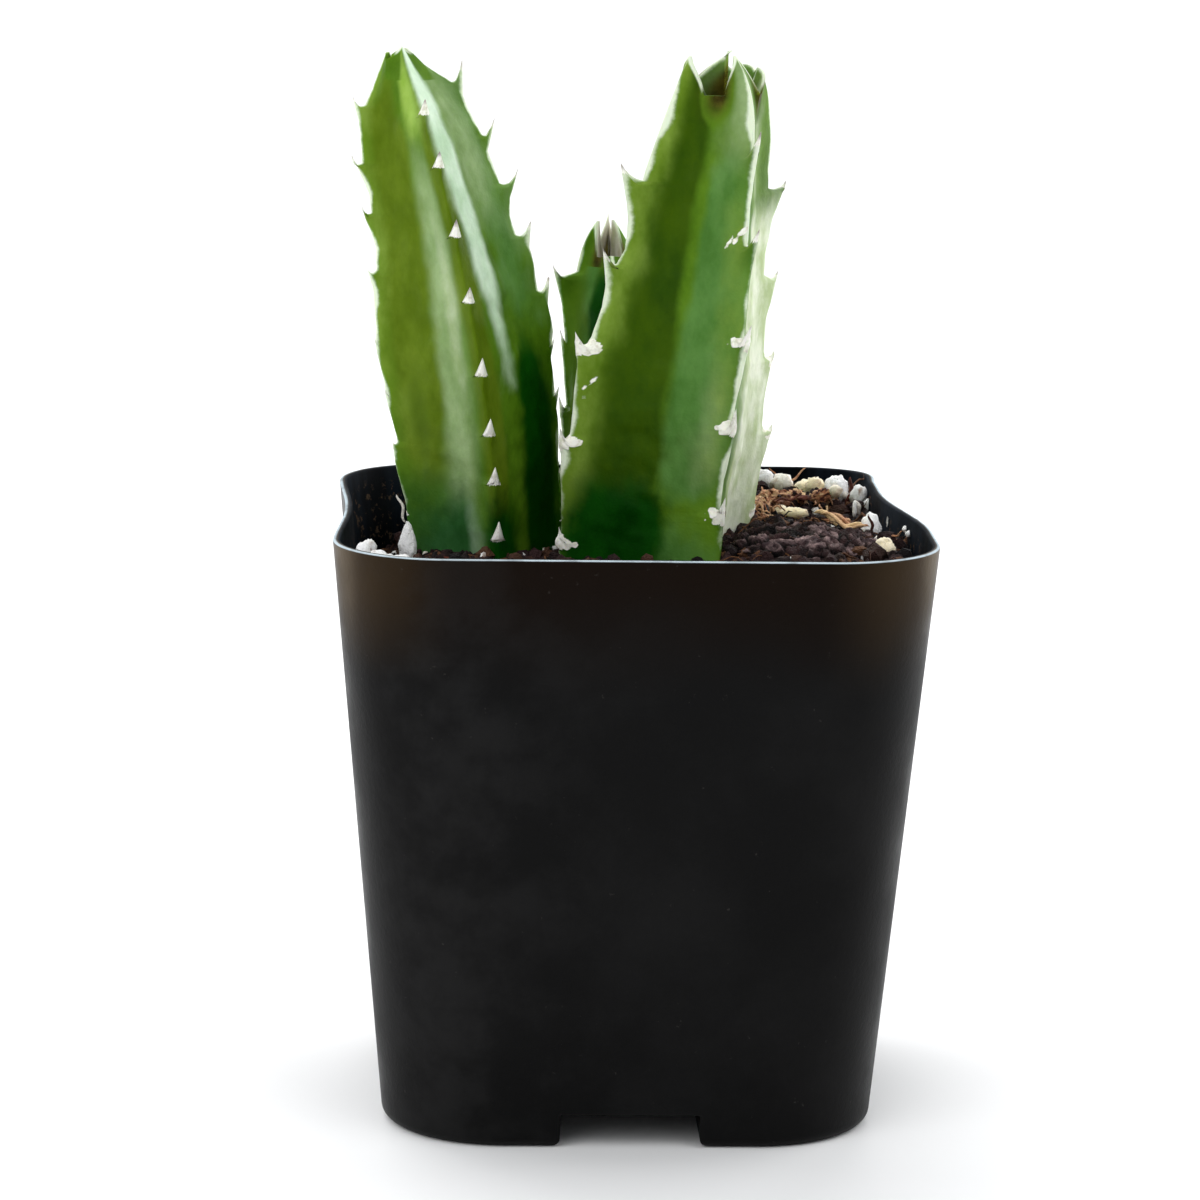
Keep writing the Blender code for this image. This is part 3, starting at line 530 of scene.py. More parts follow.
def piece(name, points, faces, finish, replaces, masks, sharp=None):
    """A finished piece: its mesh with doubles merged, its masks, finish and body, and what it stands for."""
    mesh = bpy.data.meshes.new(name)
    mesh.from_pydata(points.reshape(-1, 3).tolist(), [], faces.tolist())
    for label, values in masks.items():
        layer = mesh.attributes.new(label, "FLOAT", "POINT")
        layer.data.foreach_set("value", np.broadcast_to(values, points.shape[:-1]).astype(np.float32).ravel())
    bm = bmesh.new()
    bm.from_mesh(mesh)
    bmesh.ops.remove_doubles(bm, verts=bm.verts, dist=MERGE_WITHIN)
    bm.to_mesh(mesh)
    bm.free()
    mesh.materials.append(finish)
    mesh.shade_smooth()
    if sharp:
        mesh.set_sharp_from_angle(angle=math.radians(sharp))
    obj = put(name, mesh)
    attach(obj, "root")
    if replaces:
        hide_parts(*replaces)
    return obj


# Node helpers

def tint(red, green, blue):
    """A colour given as on a screen, from 0 to 255, in the linear values that a shader takes."""
    share = np.array([red, green, blue]) / 255.0
    linear = np.where(share <= 0.04045, share / 12.92, ((share + 0.055) / 1.055) ** 2.4)
    return (*linear.tolist(), 1.0)


def add(tree, kind, inputs, **settings):
    """One shader node: its settings, and its inputs as values or as other nodes' outputs."""
    made = tree.nodes.new("ShaderNode" + kind)
    for label, value in settings.items():
        setattr(made, label, value)
    for label, value in inputs.items():
        if isinstance(value, bpy.types.NodeSocket):
            tree.links.new(value, made.inputs[label])
        else:
            made.inputs[label].default_value = value
    return made


def place(tree, stretch=(1.0, 1.0, 1.0)):
    """Object coordinates, stretched along an axis where a pattern runs along it."""
    spot = add(tree, "TexCoord", {}).outputs["Object"]
    return add(tree, "Mapping", {"Vector": spot, "Scale": stretch}).outputs["Vector"]


def noise(tree, spot, scale, detail=3.0, roughness=0.5):
    inputs = {"Vector": spot, "Scale": scale, "Detail": detail, "Roughness": roughness}
    return add(tree, "TexNoise", inputs).outputs["Fac"]


def between(tree, value, low, high, to_low=0.0, to_high=1.0):
    """A value's place between low and high as a smooth share, or between two other numbers."""
    inputs = {0: value, 1: low, 2: high, 3: to_low, 4: to_high}
    return add(tree, "MapRange", inputs, interpolation_type="SMOOTHSTEP").outputs[0]


def mix(tree, amount, first, second, blend="MIX"):
    inputs = {0: amount, 6: first, 7: second}
    return add(tree, "Mix", inputs, data_type="RGBA", blend_type=blend).outputs[2]


def maths(tree, operation, first, second=0.0):
    return add(tree, "Math", {0: first, 1: second}, operation=operation).outputs[0]


def times(tree, first, second):
    return maths(tree, "MULTIPLY", first, second)


def plus(tree, first, second):
    return maths(tree, "ADD", first, second)


def swing(tree, value, strength):
    """A noise's value moved to lie round zero, times a strength."""
    return times(tree, maths(tree, "SUBTRACT", value, 0.5), strength)


def mask(tree, name):
    """A value that the mesh carries for each of its points."""
    return add(tree, "Attribute", {}, attribute_name=name).outputs["Fac"]


def node_group(name, inputs, output, kind):
    """An empty shared group with named inputs and one output, and the sockets of its inner ends."""
    tree = bpy.data.node_groups.new(name, "ShaderNodeTree")
    for label, input_kind in inputs.items():
        tree.interface.new_socket(label, in_out="INPUT", socket_type="NodeSocket" + input_kind)
    tree.interface.new_socket(output, in_out="OUTPUT", socket_type="NodeSocket" + kind)
    start = tree.nodes.new("NodeGroupInput").outputs
    end = tree.nodes.new("NodeGroupOutput").inputs
    return tree, start, end


def mottle_group():
    """Cloudy blotches of one colour over another, whose edges are as soft as Softness."""
    numbers = dict.fromkeys(("Scale", "Middle", "Softness"), "Float")
    kinds = {"Place": "Vector", "First": "Color", "Second": "Color", **numbers}
    tree, start, end = node_group("mottle", kinds, "Colour", "Color")
    cloud = noise(tree, start["Place"], start["Scale"], 5.0, 0.6)
    low = maths(tree, "SUBTRACT", start["Middle"], start["Softness"])
    high = plus(tree, start["Middle"], start["Softness"])
    tree.links.new(mix(tree, between(tree, cloud, low, high), start["First"], start["Second"]), end["Colour"])
    return tree


def grain_group():
    """The height of a fine grain: a coarse noise and a fine one, weighed by Fine."""
    kinds = {"Place": "Vector", "Scale": "Float", "Fine": "Float"}
    tree, start, end = node_group("grain", kinds, "Height", "Float")
    coarse = noise(tree, start["Place"], start["Scale"], 2.0)
    fine = noise(tree, start["Place"], times(tree, start["Scale"], 4.0), 2.0)
    tree.links.new(plus(tree, coarse, times(tree, fine, start["Fine"])), end["Height"])
    return tree


MOTTLE = mottle_group()
GRAIN = grain_group()


def mottle(tree, spot, first, second, scale, middle=0.5, softness=0.1):
    inputs = {
        "Place": spot, "First": first, "Second": second,
        "Scale": scale, "Middle": middle, "Softness": softness,
    }
    return add(tree, "Group", inputs, node_tree=MOTTLE).outputs["Colour"]


def grain(tree, spot, scale, fine=0.4):
    inputs = {"Place": spot, "Scale": scale, "Fine": fine}
    return add(tree, "Group", inputs, node_tree=GRAIN).outputs["Height"]


def over_mask(tree, name, low, high, colour, over):
    """One colour laid over another where a mask of the mesh passes from low to high."""
    return mix(tree, between(tree, mask(tree, name), low, high), colour, over)


def finish_of(name, settings):
    """A material, its tree and its Principled BSDF with the values that are the same all over."""
    made = bpy.data.materials.new(name)
    made.use_nodes = True
    shader = made.node_tree.nodes["Principled BSDF"]
    for label, value in settings.items():
        shader.inputs[label].default_value = value
    return made, made.node_tree, shader


def wire(tree, shader, colour, roughness, height, strength, distance):
    """Feeds a colour, a roughness and a bumped normal to the shader."""
    tree.links.new(colour, shader.inputs["Base Color"])
    tree.links.new(roughness, shader.inputs["Roughness"])
    bump = add(tree, "Bump", {"Height": height, "Strength": strength, "Distance": distance})
    tree.links.new(bump.outputs["Normal"], shader.inputs["Normal"])


# Finishes

def stem_skin():
    """Waxy green skin: olive to deep clouds; pale and mint bands that are painted highlights, sage bands
    partly so, deep bands of painted shade; pale crests that are partly a painted rim light; painted shade
    under each tooth; cream teeth, dry tips, and a brown in the crown that is partly painted shade.
    """
    made, tree, shader = finish_of(
        "stem_skin",
        {
            "Specular IOR Level": 0.05,
            "Subsurface Weight": 0.12,
            "Subsurface Radius": (0.5, 0.9, 0.2),
            "Subsurface Scale": 0.002,
        },
    )
    spot = place(tree)
    tall = place(tree, (1.0, 1.0, 0.6))
    clouds = noise(tree, tall, 260.0, 4.0, 0.55)
    shift = swing(tree, clouds, 0.8)

    def cloudy(name, low, high):
        """A band whose edge wanders with the clouds."""
        return between(tree, plus(tree, mask(tree, name), shift), low, high)

    def clouded(first, second, scale):
        return mottle(tree, tall, tint(*first), tint(*second), scale, softness=0.2)

    colour = clouded((60, 96, 8), (90, 128, 26), 170.0)
    # The pale and mint bands are painted highlights, the sage ones partly, and the deep ones painted shade
    for kind, first, second, scale, low, high in SKIN_BANDS:
        colour = mix(tree, cloudy(kind, low, high), colour, clouded(first, second, scale))
    fine = noise(tree, spot, 1500.0, 3.0, 0.6)
    grainy = mix(tree, fine, (0.6, 0.6, 0.6, 1.0), (1.3, 1.3, 1.3, 1.0))
    colour = mix(tree, 0.2, colour, grainy, "MULTIPLY")
    # Painted shade that fans down below each tooth
    shaded = mix(tree, 0.85, colour, tint(150, 186, 96), "MULTIPLY")
    colour = mix(tree, cloudy("shade", 0.2, 0.9), colour, shaded)
    # Pale crest lines: partly the skin's pale rib edges, partly a painted rim light
    crest = plus(tree, mask(tree, "crest"), swing(tree, fine, 0.5))
    colour = mix(tree, between(tree, crest, 0.2, 0.85), colour, tint(222, 232, 208))
    tooth = plus(tree, mask(tree, "tooth"), swing(tree, fine, 0.35))
    cream = mottle(tree, spot, tint(206, 204, 184), tint(244, 243, 232), 1100.0, 0.42, 0.12)
    colour = mix(tree, between(tree, tooth, 0.35, 0.6), colour, cream)
    colour = over_mask(tree, "dry", 0.1, 0.9, colour, tint(156, 142, 140))
    colour = mix(tree, mask(tree, "papery"), colour, clouded((168, 158, 142), (214, 208, 200), 500.0))
    # The brown in the crown: partly dry tissue, partly painted shade
    dry_and_shaded_brown = mottle(tree, spot, tint(46, 40, 4), tint(84, 76, 24), 500.0, softness=0.2)
    colour = over_mask(tree, "brown", 0.0, 0.8, colour, dry_and_shaded_brown)
    roughness = between(tree, clouds, 0.3, 0.7, 0.42, 0.56)
    wire(tree, shader, colour, roughness, grain(tree, spot, 900.0, 0.5), 0.25, 0.0002)
    return made


def pot_plastic():
    """Near-black moulded plastic: a warm brown band under the rim that turns lighter and tan towards the
    corners as a painted reflection, faint smudges, fine dust, and a pale line on the lip that is a painted
    highlight.

    The mask called lip is 1 on the lip's outer edge, where the painted highlight lies, and -1 on the inside
    of the wall, which is clean and blue-black, a painted bluish reflection.
    """
    made, tree, shader = finish_of("pot_plastic", {"Specular IOR Level": 0.05})
    spot = place(tree)
    drawn = place(tree, (1.0, 1.0, 0.15))
    colour = mottle(tree, spot, tint(11, 11, 11), tint(20, 20, 20), 60.0, 0.55, 0.2)
    parts = add(tree, "SeparateXYZ", {0: spot}).outputs
    wander = swing(tree, noise(tree, spot, 45.0), 0.010)
    band = between(tree, plus(tree, parts["Z"], wander), 0.049, 0.0625)
    sideways = maths(tree, "ABSOLUTE", parts["X"])
    along = maths(tree, "ABSOLUTE", parts["Y"])
    # A brown band under the rim; the lighter brown and the tan towards the corners are a painted reflection
    reflection_toward_corners = times(tree, between(tree, sideways, 0.018, 0.030), between(tree, along, 0.012, 0.024))
    brown_band_and_reflection = mix(tree, reflection_toward_corners, tint(12, 4, 0), tint(58, 45, 28))
    corner_reflection = times(tree, between(tree, sideways, 0.0285, 0.0325), between(tree, along, 0.020, 0.0265))
    brown_band_and_reflection = mix(tree, corner_reflection, brown_band_and_reflection, tint(128, 112, 88))
    brown_band_and_reflection = mix(tree, times(tree, noise(tree, drawn, 120.0), 0.6), brown_band_and_reflection, tint(18, 9, 3))
    colour = mix(tree, band, colour, brown_band_and_reflection)
    dust = between(tree, noise(tree, spot, 900.0, 3.0, 0.7), 0.68, 0.8)
    colour = mix(tree, times(tree, dust, 0.2), colour, tint(92, 88, 84))
    # The inside of the wall: a painted bluish reflection
    inside = between(tree, mask(tree, "lip"), -0.2, -0.8)
    colour = mix(tree, inside, colour, mottle(tree, drawn, tint(3, 6, 11), tint(18, 25, 34), 160.0))
    specks = between(tree, noise(tree, spot, 1100.0, 3.0, 0.7), 0.56, 0.66)
    below_lip = between(tree, parts["Z"], 0.0632, 0.0612)
    colour = mix(tree, times(tree, times(tree, specks, inside), below_lip), colour, tint(78, 62, 50))
    # The lip's pale blue-white line: a painted highlight
    lip = times(tree, mask(tree, "lip"), between(tree, noise(tree, spot, 400.0), 0.25, 0.6, 0.55, 1.0))
    colour = mix(tree, between(tree, lip, 0.0, 1.0), colour, tint(186, 200, 208))
    smudge = noise(tree, spot, 120.0, 5.0, 0.6)
    rubbed = times(tree, between(tree, smudge, 0.42, 0.66), between(tree, parts["X"], 0.004, -0.024))
    colour = mix(tree, times(tree, rubbed, 0.18), colour, tint(46, 46, 46))
    roughness = plus(tree, between(tree, smudge, 0.3, 0.7, 0.34, 0.5), times(tree, inside, 0.25))
    streaks = times(tree, noise(tree, place(tree, (1.0, 1.0, 0.06)), 700.0), 0.5)
    height = plus(tree, grain(tree, spot, 1600.0), streaks)
    wire(tree, shader, colour, roughness, height, 0.12, 0.0002)
    return made


def potting_mix():
    """Dark peat: purple-brown to black-brown clouds, with a tint that each crumb carries; its darkest tones
    are partly dark crumbs and partly painted shade in the sinks and the peat's cracks.
    """
    made, tree, shader = finish_of("potting_mix", {"Specular IOR Level": 0.2})
    spot = place(tree)
    colour = mottle(tree, spot, tint(26, 16, 16), tint(58, 38, 38), 420.0, softness=0.15)
    purple = mottle(tree, spot, tint(58, 42, 46), tint(178, 150, 148), 600.0, 0.52, 0.14)
    colour = mix(tree, mask(tree, "purple"), colour, purple)
    colour = over_mask(tree, "tone", 0.45, 0.95, colour, tint(116, 78, 50))
    # Near black: dark crumbs, and painted shade in the sinks and cracks. Black: painted shade in the sinks.
    colour = over_mask(tree, "tone", 0.3, 0.0, colour, tint(12, 8, 9))
    colour = over_mask(tree, "tone", -0.1, -0.6, colour, tint(1, 0, 0))
    roughness = between(tree, noise(tree, spot, 700.0), 0.3, 0.7, 0.62, 0.9)
    wire(tree, shader, colour, roughness, grain(tree, spot, 1500.0, 0.6), 0.9, 0.0005)
    return made


def perlite_white():
    """Puffed glass: white to cream, pitted, with grey specks and a little brown dust in its pits."""
    made, tree, shader = finish_of(
        "perlite",
        {
            "Specular IOR Level": 0.3,
            "Subsurface Weight": 0.35,
            "Subsurface Radius": (1.0, 1.0, 0.95),
            "Subsurface Scale": 0.0015,
        },
    )
    spot = place(tree)
    colour = mottle(tree, spot, tint(246, 247, 246), tint(255, 255, 255), 700.0, 0.45, 0.15)
    colour = over_mask(tree, "cream", 0.0, 1.0, colour, tint(252, 232, 190))
    pits = between(tree, noise(tree, spot, 2200.0, 3.0, 0.65), 0.62, 0.74)
    colour = mix(tree, times(tree, pits, 0.6), colour, tint(128, 120, 112))
    colour = over_mask(tree, "dirt", 0.2, 1.0, colour, tint(128, 92, 66))
    roughness = between(tree, noise(tree, spot, 900.0), 0.3, 0.7, 0.6, 0.85)
    wire(tree, shader, colour, roughness, grain(tree, spot, 2500.0, 0.6), 0.6, 0.0003)
    return made


def bark_tan():
    """Torn bark: red-brown where its tone is 0, orange-tan towards 1, straw and bleached above that."""
    made, tree, shader = finish_of("bark", {"Specular IOR Level": 0.2})
    spot = place(tree)
    colour = mottle(tree, spot, tint(60, 22, 14), tint(98, 46, 32), 900.0, softness=0.14)
    colour = over_mask(tree, "tone", 0.3, -0.1, colour, tint(26, 13, 9))
    orange = mottle(tree, spot, tint(176, 116, 80), tint(222, 176, 138), 900.0, softness=0.14)
    colour = over_mask(tree, "tone", 0.35, 0.95, colour, orange)
    colour = over_mask(tree, "tone", 1.0, 1.6, colour, tint(226, 192, 146))
    colour = over_mask(tree, "tone", 2.0, 2.5, colour, tint(236, 230, 220))
    roughness = between(tree, noise(tree, spot, 900.0), 0.3, 0.7, 0.6, 0.85)
    wire(tree, shader, colour, roughness, grain(tree, spot, 2200.0, 0.6), 0.7, 0.0004)
    return made


# Pot

def stations(grow):
    """Places from the middle of a side outwards, and the floor's height at each: dense at the channel's edge.

    The floor is at the channel's ceiling inside its half width, then falls straight down, and ends in a
    quarter round where it flares into the foot.
    """
    half = CHANNEL_HALF + grow
    turn = np.linspace(0.0, math.pi / 2.0, 7)
    over_channel, on_foot, in_corner = STATION_COUNTS
    flat = np.linspace(0.0, half - CHANNEL_EDGE, over_channel)
    edge_out = half - CHANNEL_EDGE * (1.0 - np.sin(turn[1:]))
    edge_fall = CHANNEL_EDGE * (1.0 - np.cos(turn[1:]))
    flare_out = half + FOOT_ROUND * (1.0 - np.cos(turn))
    flare_height = FOOT_ROUND * (1.0 - np.sin(turn))
    foot = np.linspace(half + FOOT_ROUND, STRAIGHT_BASE, on_foot)[1:]
    corner = np.linspace(STRAIGHT_BASE, BASE_HALF, in_corner)[1:]
    out = np.concatenate([flat, edge_out, flare_out, foot, corner])
    height = np.concatenate([
        np.full(len(flat), CHANNEL_HEIGHT),
        CHANNEL_HEIGHT - edge_fall,
        flare_height,
        np.zeros(len(foot) + len(corner)),
    ])
    return np.concatenate([-out[:0:-1], out]), np.concatenate([height[:0:-1], height])


def rounded_square(across, along, half, corner):
    """Stations across and along laid out in a rounded square: straight ones stay, the corners become arcs.

    In a corner, the larger of the two shares is the distance from the corner's middle, and their ratio is
    the angle.
    """
    straight = half - corner

    def flat(station):
        reach = np.abs(station)
        stretch = (straight - STRAIGHT_HOLD) / (STRAIGHT_BASE - STRAIGHT_HOLD)
        past = np.clip(reach - STRAIGHT_HOLD, 0.0, STRAIGHT_BASE - STRAIGHT_HOLD)
        return np.minimum(reach, STRAIGHT_HOLD) + past * stretch

    share_x = np.clip((np.abs(across) - STRAIGHT_BASE) / BASE_CORNER, 0.0, 1.0)
    share_y = np.clip((np.abs(along) - STRAIGHT_BASE) / BASE_CORNER, 0.0, 1.0)
    reach = np.maximum(share_x, share_y)
    low = np.minimum(share_x, share_y) / np.maximum(reach, 1e-9) * math.pi / 4.0
    angle = np.where(share_x >= share_y, low, math.pi / 2.0 - low)
    in_corner = (share_x > 0.0) & (share_y > 0.0)
    x = flat(across) + corner * np.where(in_corner, reach * np.cos(angle), share_x)
    y = flat(along) + corner * np.where(in_corner, reach * np.sin(angle), share_y)
    return np.sign(across) * x, np.sign(along) * y


def pot_half(z):
    return BASE_HALF + (RIM_HALF - BASE_HALF) * z / POT_HEIGHT


def pot_corner(z):
    return BASE_CORNER + (RIM_CORNER - BASE_CORNER) * z / POT_HEIGHT


def wall_bow(x, y, z):
    """How far a side wall leans in: a low bow in the left one, and a press at the back of the right one."""
    rise = ramp(z, BOW_START, POT_HEIGHT)
    left = LEFT_BOW * np.maximum(0.0, 1.0 - (y / (RIM_HALF - RIM_CORNER)) ** 2) ** 2
    right = RIGHT_PRESS * ramp(y, *PRESS_START) * (1.0 - ramp(y, *PRESS_END))
    return np.sign(x) * rise * np.where(x < 0.0, left, right)


def wall_point(across, along, z, inset):
    """A point of the pot's wall: its rounded square at a height, moved in by inset, with the sides' bow."""
    x, y = rounded_square(across, along, pot_half(z) - inset, pot_corner(z) - inset)
    return x - wall_bow(x, y, z), y


def wall_inside(x, y, z, margin):
    """The wall's inside moved in by margin, as its corner's radius and half its straight part at each height.

    After these two comes how far each spot lies past the straight part, sideways and back to front.
    """
    corner = pot_corner(z) - WALL - margin
    straight = pot_half(z) - WALL - margin - corner
    past_x = np.maximum(np.abs(x + wall_bow(x, y, z)) - straight, 0.0)
    past_y = np.maximum(np.abs(y) - straight, 0.0)
    return corner, straight, past_x, past_y


def in_pot(x, y, margin):
    """True where a spot on the mix lies farther than margin from the inside of the pot's wall."""
    corner, _, past_x, past_y = wall_inside(x, y, SOIL_LEVEL, margin)
    return np.hypot(past_x, past_y) < corner


def keep_inside(points):
    """Moves what is past the inside of the pot's wall back to a hair's breadth from it, at its own height."""
    x, y, z = np.moveaxis(points, -1, 0)
    bow = wall_bow(x, y, z)
    corner, straight, past_x, past_y = wall_inside(x, y, z, WALL_GAP)
    shrink = np.minimum(1.0, corner / np.maximum(np.hypot(past_x, past_y), 1e-9))
    new_x = np.sign(x) * (np.minimum(np.abs(x + bow), straight) + past_x * shrink) - bow
    new_y = np.sign(y) * (np.minimum(np.abs(y), straight) + past_y * shrink)
    return np.stack([new_x, new_y, z], -1)


def edge_of(grid):
    """A square grid's outer points in order, counter-clockwise from the front left."""
    return np.concatenate([grid[0, :-1], grid[:-1, -1], grid[-1, :0:-1], grid[:0:-1, 0]])


def border(values):
    """The edge of the square grid that these values span, as two lists: across and along."""
    across, along = np.meshgrid(values, values, indexing="xy")
    return edge_of(across), edge_of(along)


def border_heights(height):
    """The floor's height along that border: the higher of the two stations'."""
    return np.maximum(*border(height))


def dented(x, y, z):
    """The front wall's y with its shallow dents pressed in."""
    for across, up, radius, depth in DENTS:
        dent = depth * MM * mound(x, z, across * MM, up * MM, radius * MM)
        y = y + np.where(y < 0.0, dent, 0.0)
    return y


def floor_grid(place_of, height_of, half, corner, raise_by):
    """A floor from side to side: a rounded square of stations, at the higher of its two stations' heights."""
    across, along = np.meshgrid(place_of, place_of, indexing="xy")
    x, y = rounded_square(across, along, half, corner)
    z = np.maximum(height_of[None, :], height_of[:, None]) + raise_by
    return np.stack([x, y, z], -1)


def loop_row(across, along, z, inset, floor):
    """One ring round the pot's wall, never lower than the floor at each point."""
    level = np.maximum(z, floor)
    x, y = wall_point(across, along, level, inset)
    return np.stack([x, y, level], -1)


def pot_shell():
    """The pot's outside from its foot up, over the lip and down inside, with a floor grid at either end.

    Each ring is the border of the floor's grid at another height and inset, so the notches under the walls
    come from the floor's own heights.
    """
    outer, outer_floor = stations(0.0)
    inner, inner_floor = stations(WALL)
    across, along = border(outer)
    notch = border_heights(outer_floor)
    in_across, in_along = border(inner)
    in_notch = border_heights(inner_floor) + WALL
    rings, lips = [], []
    for angle in np.linspace(0.0, math.pi / 2.0, FOOT_RINGS):
        z = BASE_ROUND * (1.0 - math.cos(angle))
        rings.append(loop_row(across, along, z, BASE_ROUND * (1.0 - math.sin(angle)), notch))
        lips.append(0.0)
    lip_start = POT_HEIGHT - LIP_ROUND
    start = np.maximum(BASE_ROUND, notch)
    for share in np.linspace(0.0, 1.0, WALL_RINGS)[1:]:
        level = start + (lip_start - start) * share
        x, y = wall_point(across, along, level, 0.0)
        inward = ramp(level, CHANNEL_HEIGHT * 1.2, CHANNEL_HEIGHT * 2.0)
        y = y + (dented(x, y, level) - y) * inward
        rings.append(np.stack([x, y, level], -1))
        lips.append(0.0)
    for angle in np.linspace(0.0, math.pi, LIP_RINGS)[1:]:
        side = math.cos(angle)
        inset = LIP_ROUND * (1.0 - side) if side > 0.0 else WALL - LIP_ROUND * (1.0 + side)
        z = lip_start + LIP_ROUND * math.sin(angle)
        rings.append(loop_row(across, along, z, inset, 0.0 * notch))
        # The lip mask: its outer half carries the painted highlight, the inside is -1
        lips.append(float(ramp(math.sin(angle), 0.2, 0.7)) if angle < 1.6 else -1.0)
    start = np.maximum(WALL + BASE_ROUND, in_notch)
    for share in np.linspace(1.0, 0.0, INSIDE_RINGS)[1:]:
        level = start + (lip_start - start) * share
        mixed = 1.0 - ramp(share, 0.0, 0.5)
        nearer_x, nearer_y = across + (in_across - across) * mixed, along + (in_along - along) * mixed
        x, y = wall_point(nearer_x, nearer_y, level, WALL)
        rings.append(np.stack([x, y, level], -1))
        lips.append(-1.0)
    for angle in np.linspace(math.pi / 2.0, 0.0, BOTTOM_RINGS)[1:]:
        z = WALL + BASE_ROUND * (1.0 - math.cos(angle))
        inset = WALL + BASE_ROUND * (1.0 - math.sin(angle))
        rings.append(loop_row(in_across, in_along, z, inset, in_notch))
        lips.append(0.0)
    under = floor_grid(outer, outer_floor, BASE_HALF - BASE_ROUND, BASE_CORNER - BASE_ROUND, 0.0)
    size = len(outer)
    under[[0, -1]] = np.array([rings[0][:size], rings[0][2 * size - 2:3 * size - 2][::-1]])
    inset = WALL + BASE_ROUND
    inside = floor_grid(inner, inner_floor, pot_half(WALL) - inset, pot_corner(WALL) - inset, WALL)
    return np.array(rings), under, inside, np.array(lips)


def closed_shell(wall, under, over):
    """The points and faces of a closed surface: the rings of a wall, and a square grid at either end."""
    rings, around = wall.shape[:2]
    size = len(under)
    points = np.concatenate([wall.reshape(-1, 3), under.reshape(-1, 3), over.reshape(-1, 3)])
    faces = np.concatenate([
        grid_faces(rings, around),
        grid_faces(size, size, rings * around, wrap=False)[:, ::-1],
        grid_faces(size, size, rings * around + size * size, wrap=False),
    ])
    return points, faces


def drill_drain_holes(pot):
    """Cuts one drain hole in the middle of the pot's floor and one in each arm of the channel."""
    angle = np.linspace(0.0, 2.0 * math.pi, HOLE_SIDES, endpoint=False)
    circle = np.stack([np.cos(angle), np.sin(angle)], -1) * HOLE_RADIUS
    quarters = np.arange(4) * math.pi / 2.0
    middles = np.concatenate([[[0.0, 0.0]], np.stack([np.cos(quarters), np.sin(quarters)], -1) * HOLE_OUT])
    bm = bmesh.new()
    for middle in middles:
        low, high = CHANNEL_HEIGHT - 1.0 * MM, CHANNEL_HEIGHT + WALL + 1.0 * MM
        rows = [[bm.verts.new((x, y, z)) for x, y in circle + middle] for z in (low, high)]
        bm.faces.new(reversed(rows[0]))
        bm.faces.new(rows[1])
        for i in range(HOLE_SIDES):
            j = (i + 1) % HOLE_SIDES
            bm.faces.new((rows[0][i], rows[0][j], rows[1][j], rows[1][i]))
    mesh = bpy.data.meshes.new("drain_cutters")
    bm.to_mesh(mesh)
    bm.free()
    cutter = put("drain_cutters", mesh)
    modifier = pot.modifiers.new("drain_holes", "BOOLEAN")
    modifier.operation = "DIFFERENCE"
    modifier.object = cutter
    graph = bpy.context.evaluated_depsgraph_get()
    result = bpy.data.meshes.new_from_object(pot.evaluated_get(graph), depsgraph=graph)
    pot.modifiers.clear()
    pot.data = result
    bpy.data.objects.remove(cutter, do_unlink=True)


def make_pot(finish):
    """The thin pot: outside, lip, inside and floor in one closed surface, then its drain holes."""
    wall, under, inside, lips = pot_shell()
    points, faces = closed_shell(wall, under, inside)
    lip = np.concatenate([np.repeat(lips, wall.shape[1]), np.zeros(2 * len(under) ** 2)])
    pot = piece("pot_moulded", points, faces, finish, ("pot",), {"lip": lip}, sharp=40.0)
    drill_drain_holes(pot)


# Potting mix

def soil_lumps():
    """The lumps and dents of the mix, most of them seeded: middle, radius and height of each."""
    draw = random.Random(SOIL_SEED)
    lumps = [PEAT_LUMP, HOLLOW]
    for _ in range(SOIL_LUMPS):
        x = draw.uniform(-LUMP_SPREAD, LUMP_SPREAD)
        y = draw.uniform(-LUMP_SPREAD, LUMP_SPREAD)
        lumps.append((x, y, draw.uniform(*LUMP_RADIUS), draw.uniform(*LUMP_HEIGHT)))
    return lumps


def soil_height(x, y):
    """The mix's surface: high at the right and back, sunk at the left, with lumps as bell curves."""
    across, along, rise = SOIL_SLOPE_CORNER
    left, left_along, left_fall = SOIL_SLOPE_LEFT
    front, front_along, front_rise = SOIL_SLOPE_FRONT_LEFT
    height = SOIL_LEVEL + SOIL_SLOPE_RIGHT[2] * ramp(x, *SOIL_SLOPE_RIGHT[:2])
    height = height + rise * ramp(x, *across) * ramp(y, *along)
    height = height + left_fall * ramp(-x, *left) * ramp(y, *left_along)
    height = height + front_rise * ramp(-x, *front) * ramp(-y, *front_along)
    for px, py, radius, lift in soil_lumps():
        height = height + lift * mound(x, y, px, py, radius)
    return height


def crumbly_height(x, y):
    """The mix's surface with its fine roughness: waves folded at zero, so that crumbs meet in creases."""
    flat = np.stack([x, y, np.zeros_like(x)], -1)
    folds = 0.5 - np.abs(rough(flat, 3.2 * MM, 5)) * 0.9
    fine = rough(flat, 0.9 * MM, 9, 2)
    sunk = sum(depth * mound(x, y, px, py, radius) for px, py, radius, depth in SINKS)
    return soil_height(x, y) + SOIL_ROUGHNESS * (folds + 0.45 * fine) - sunk


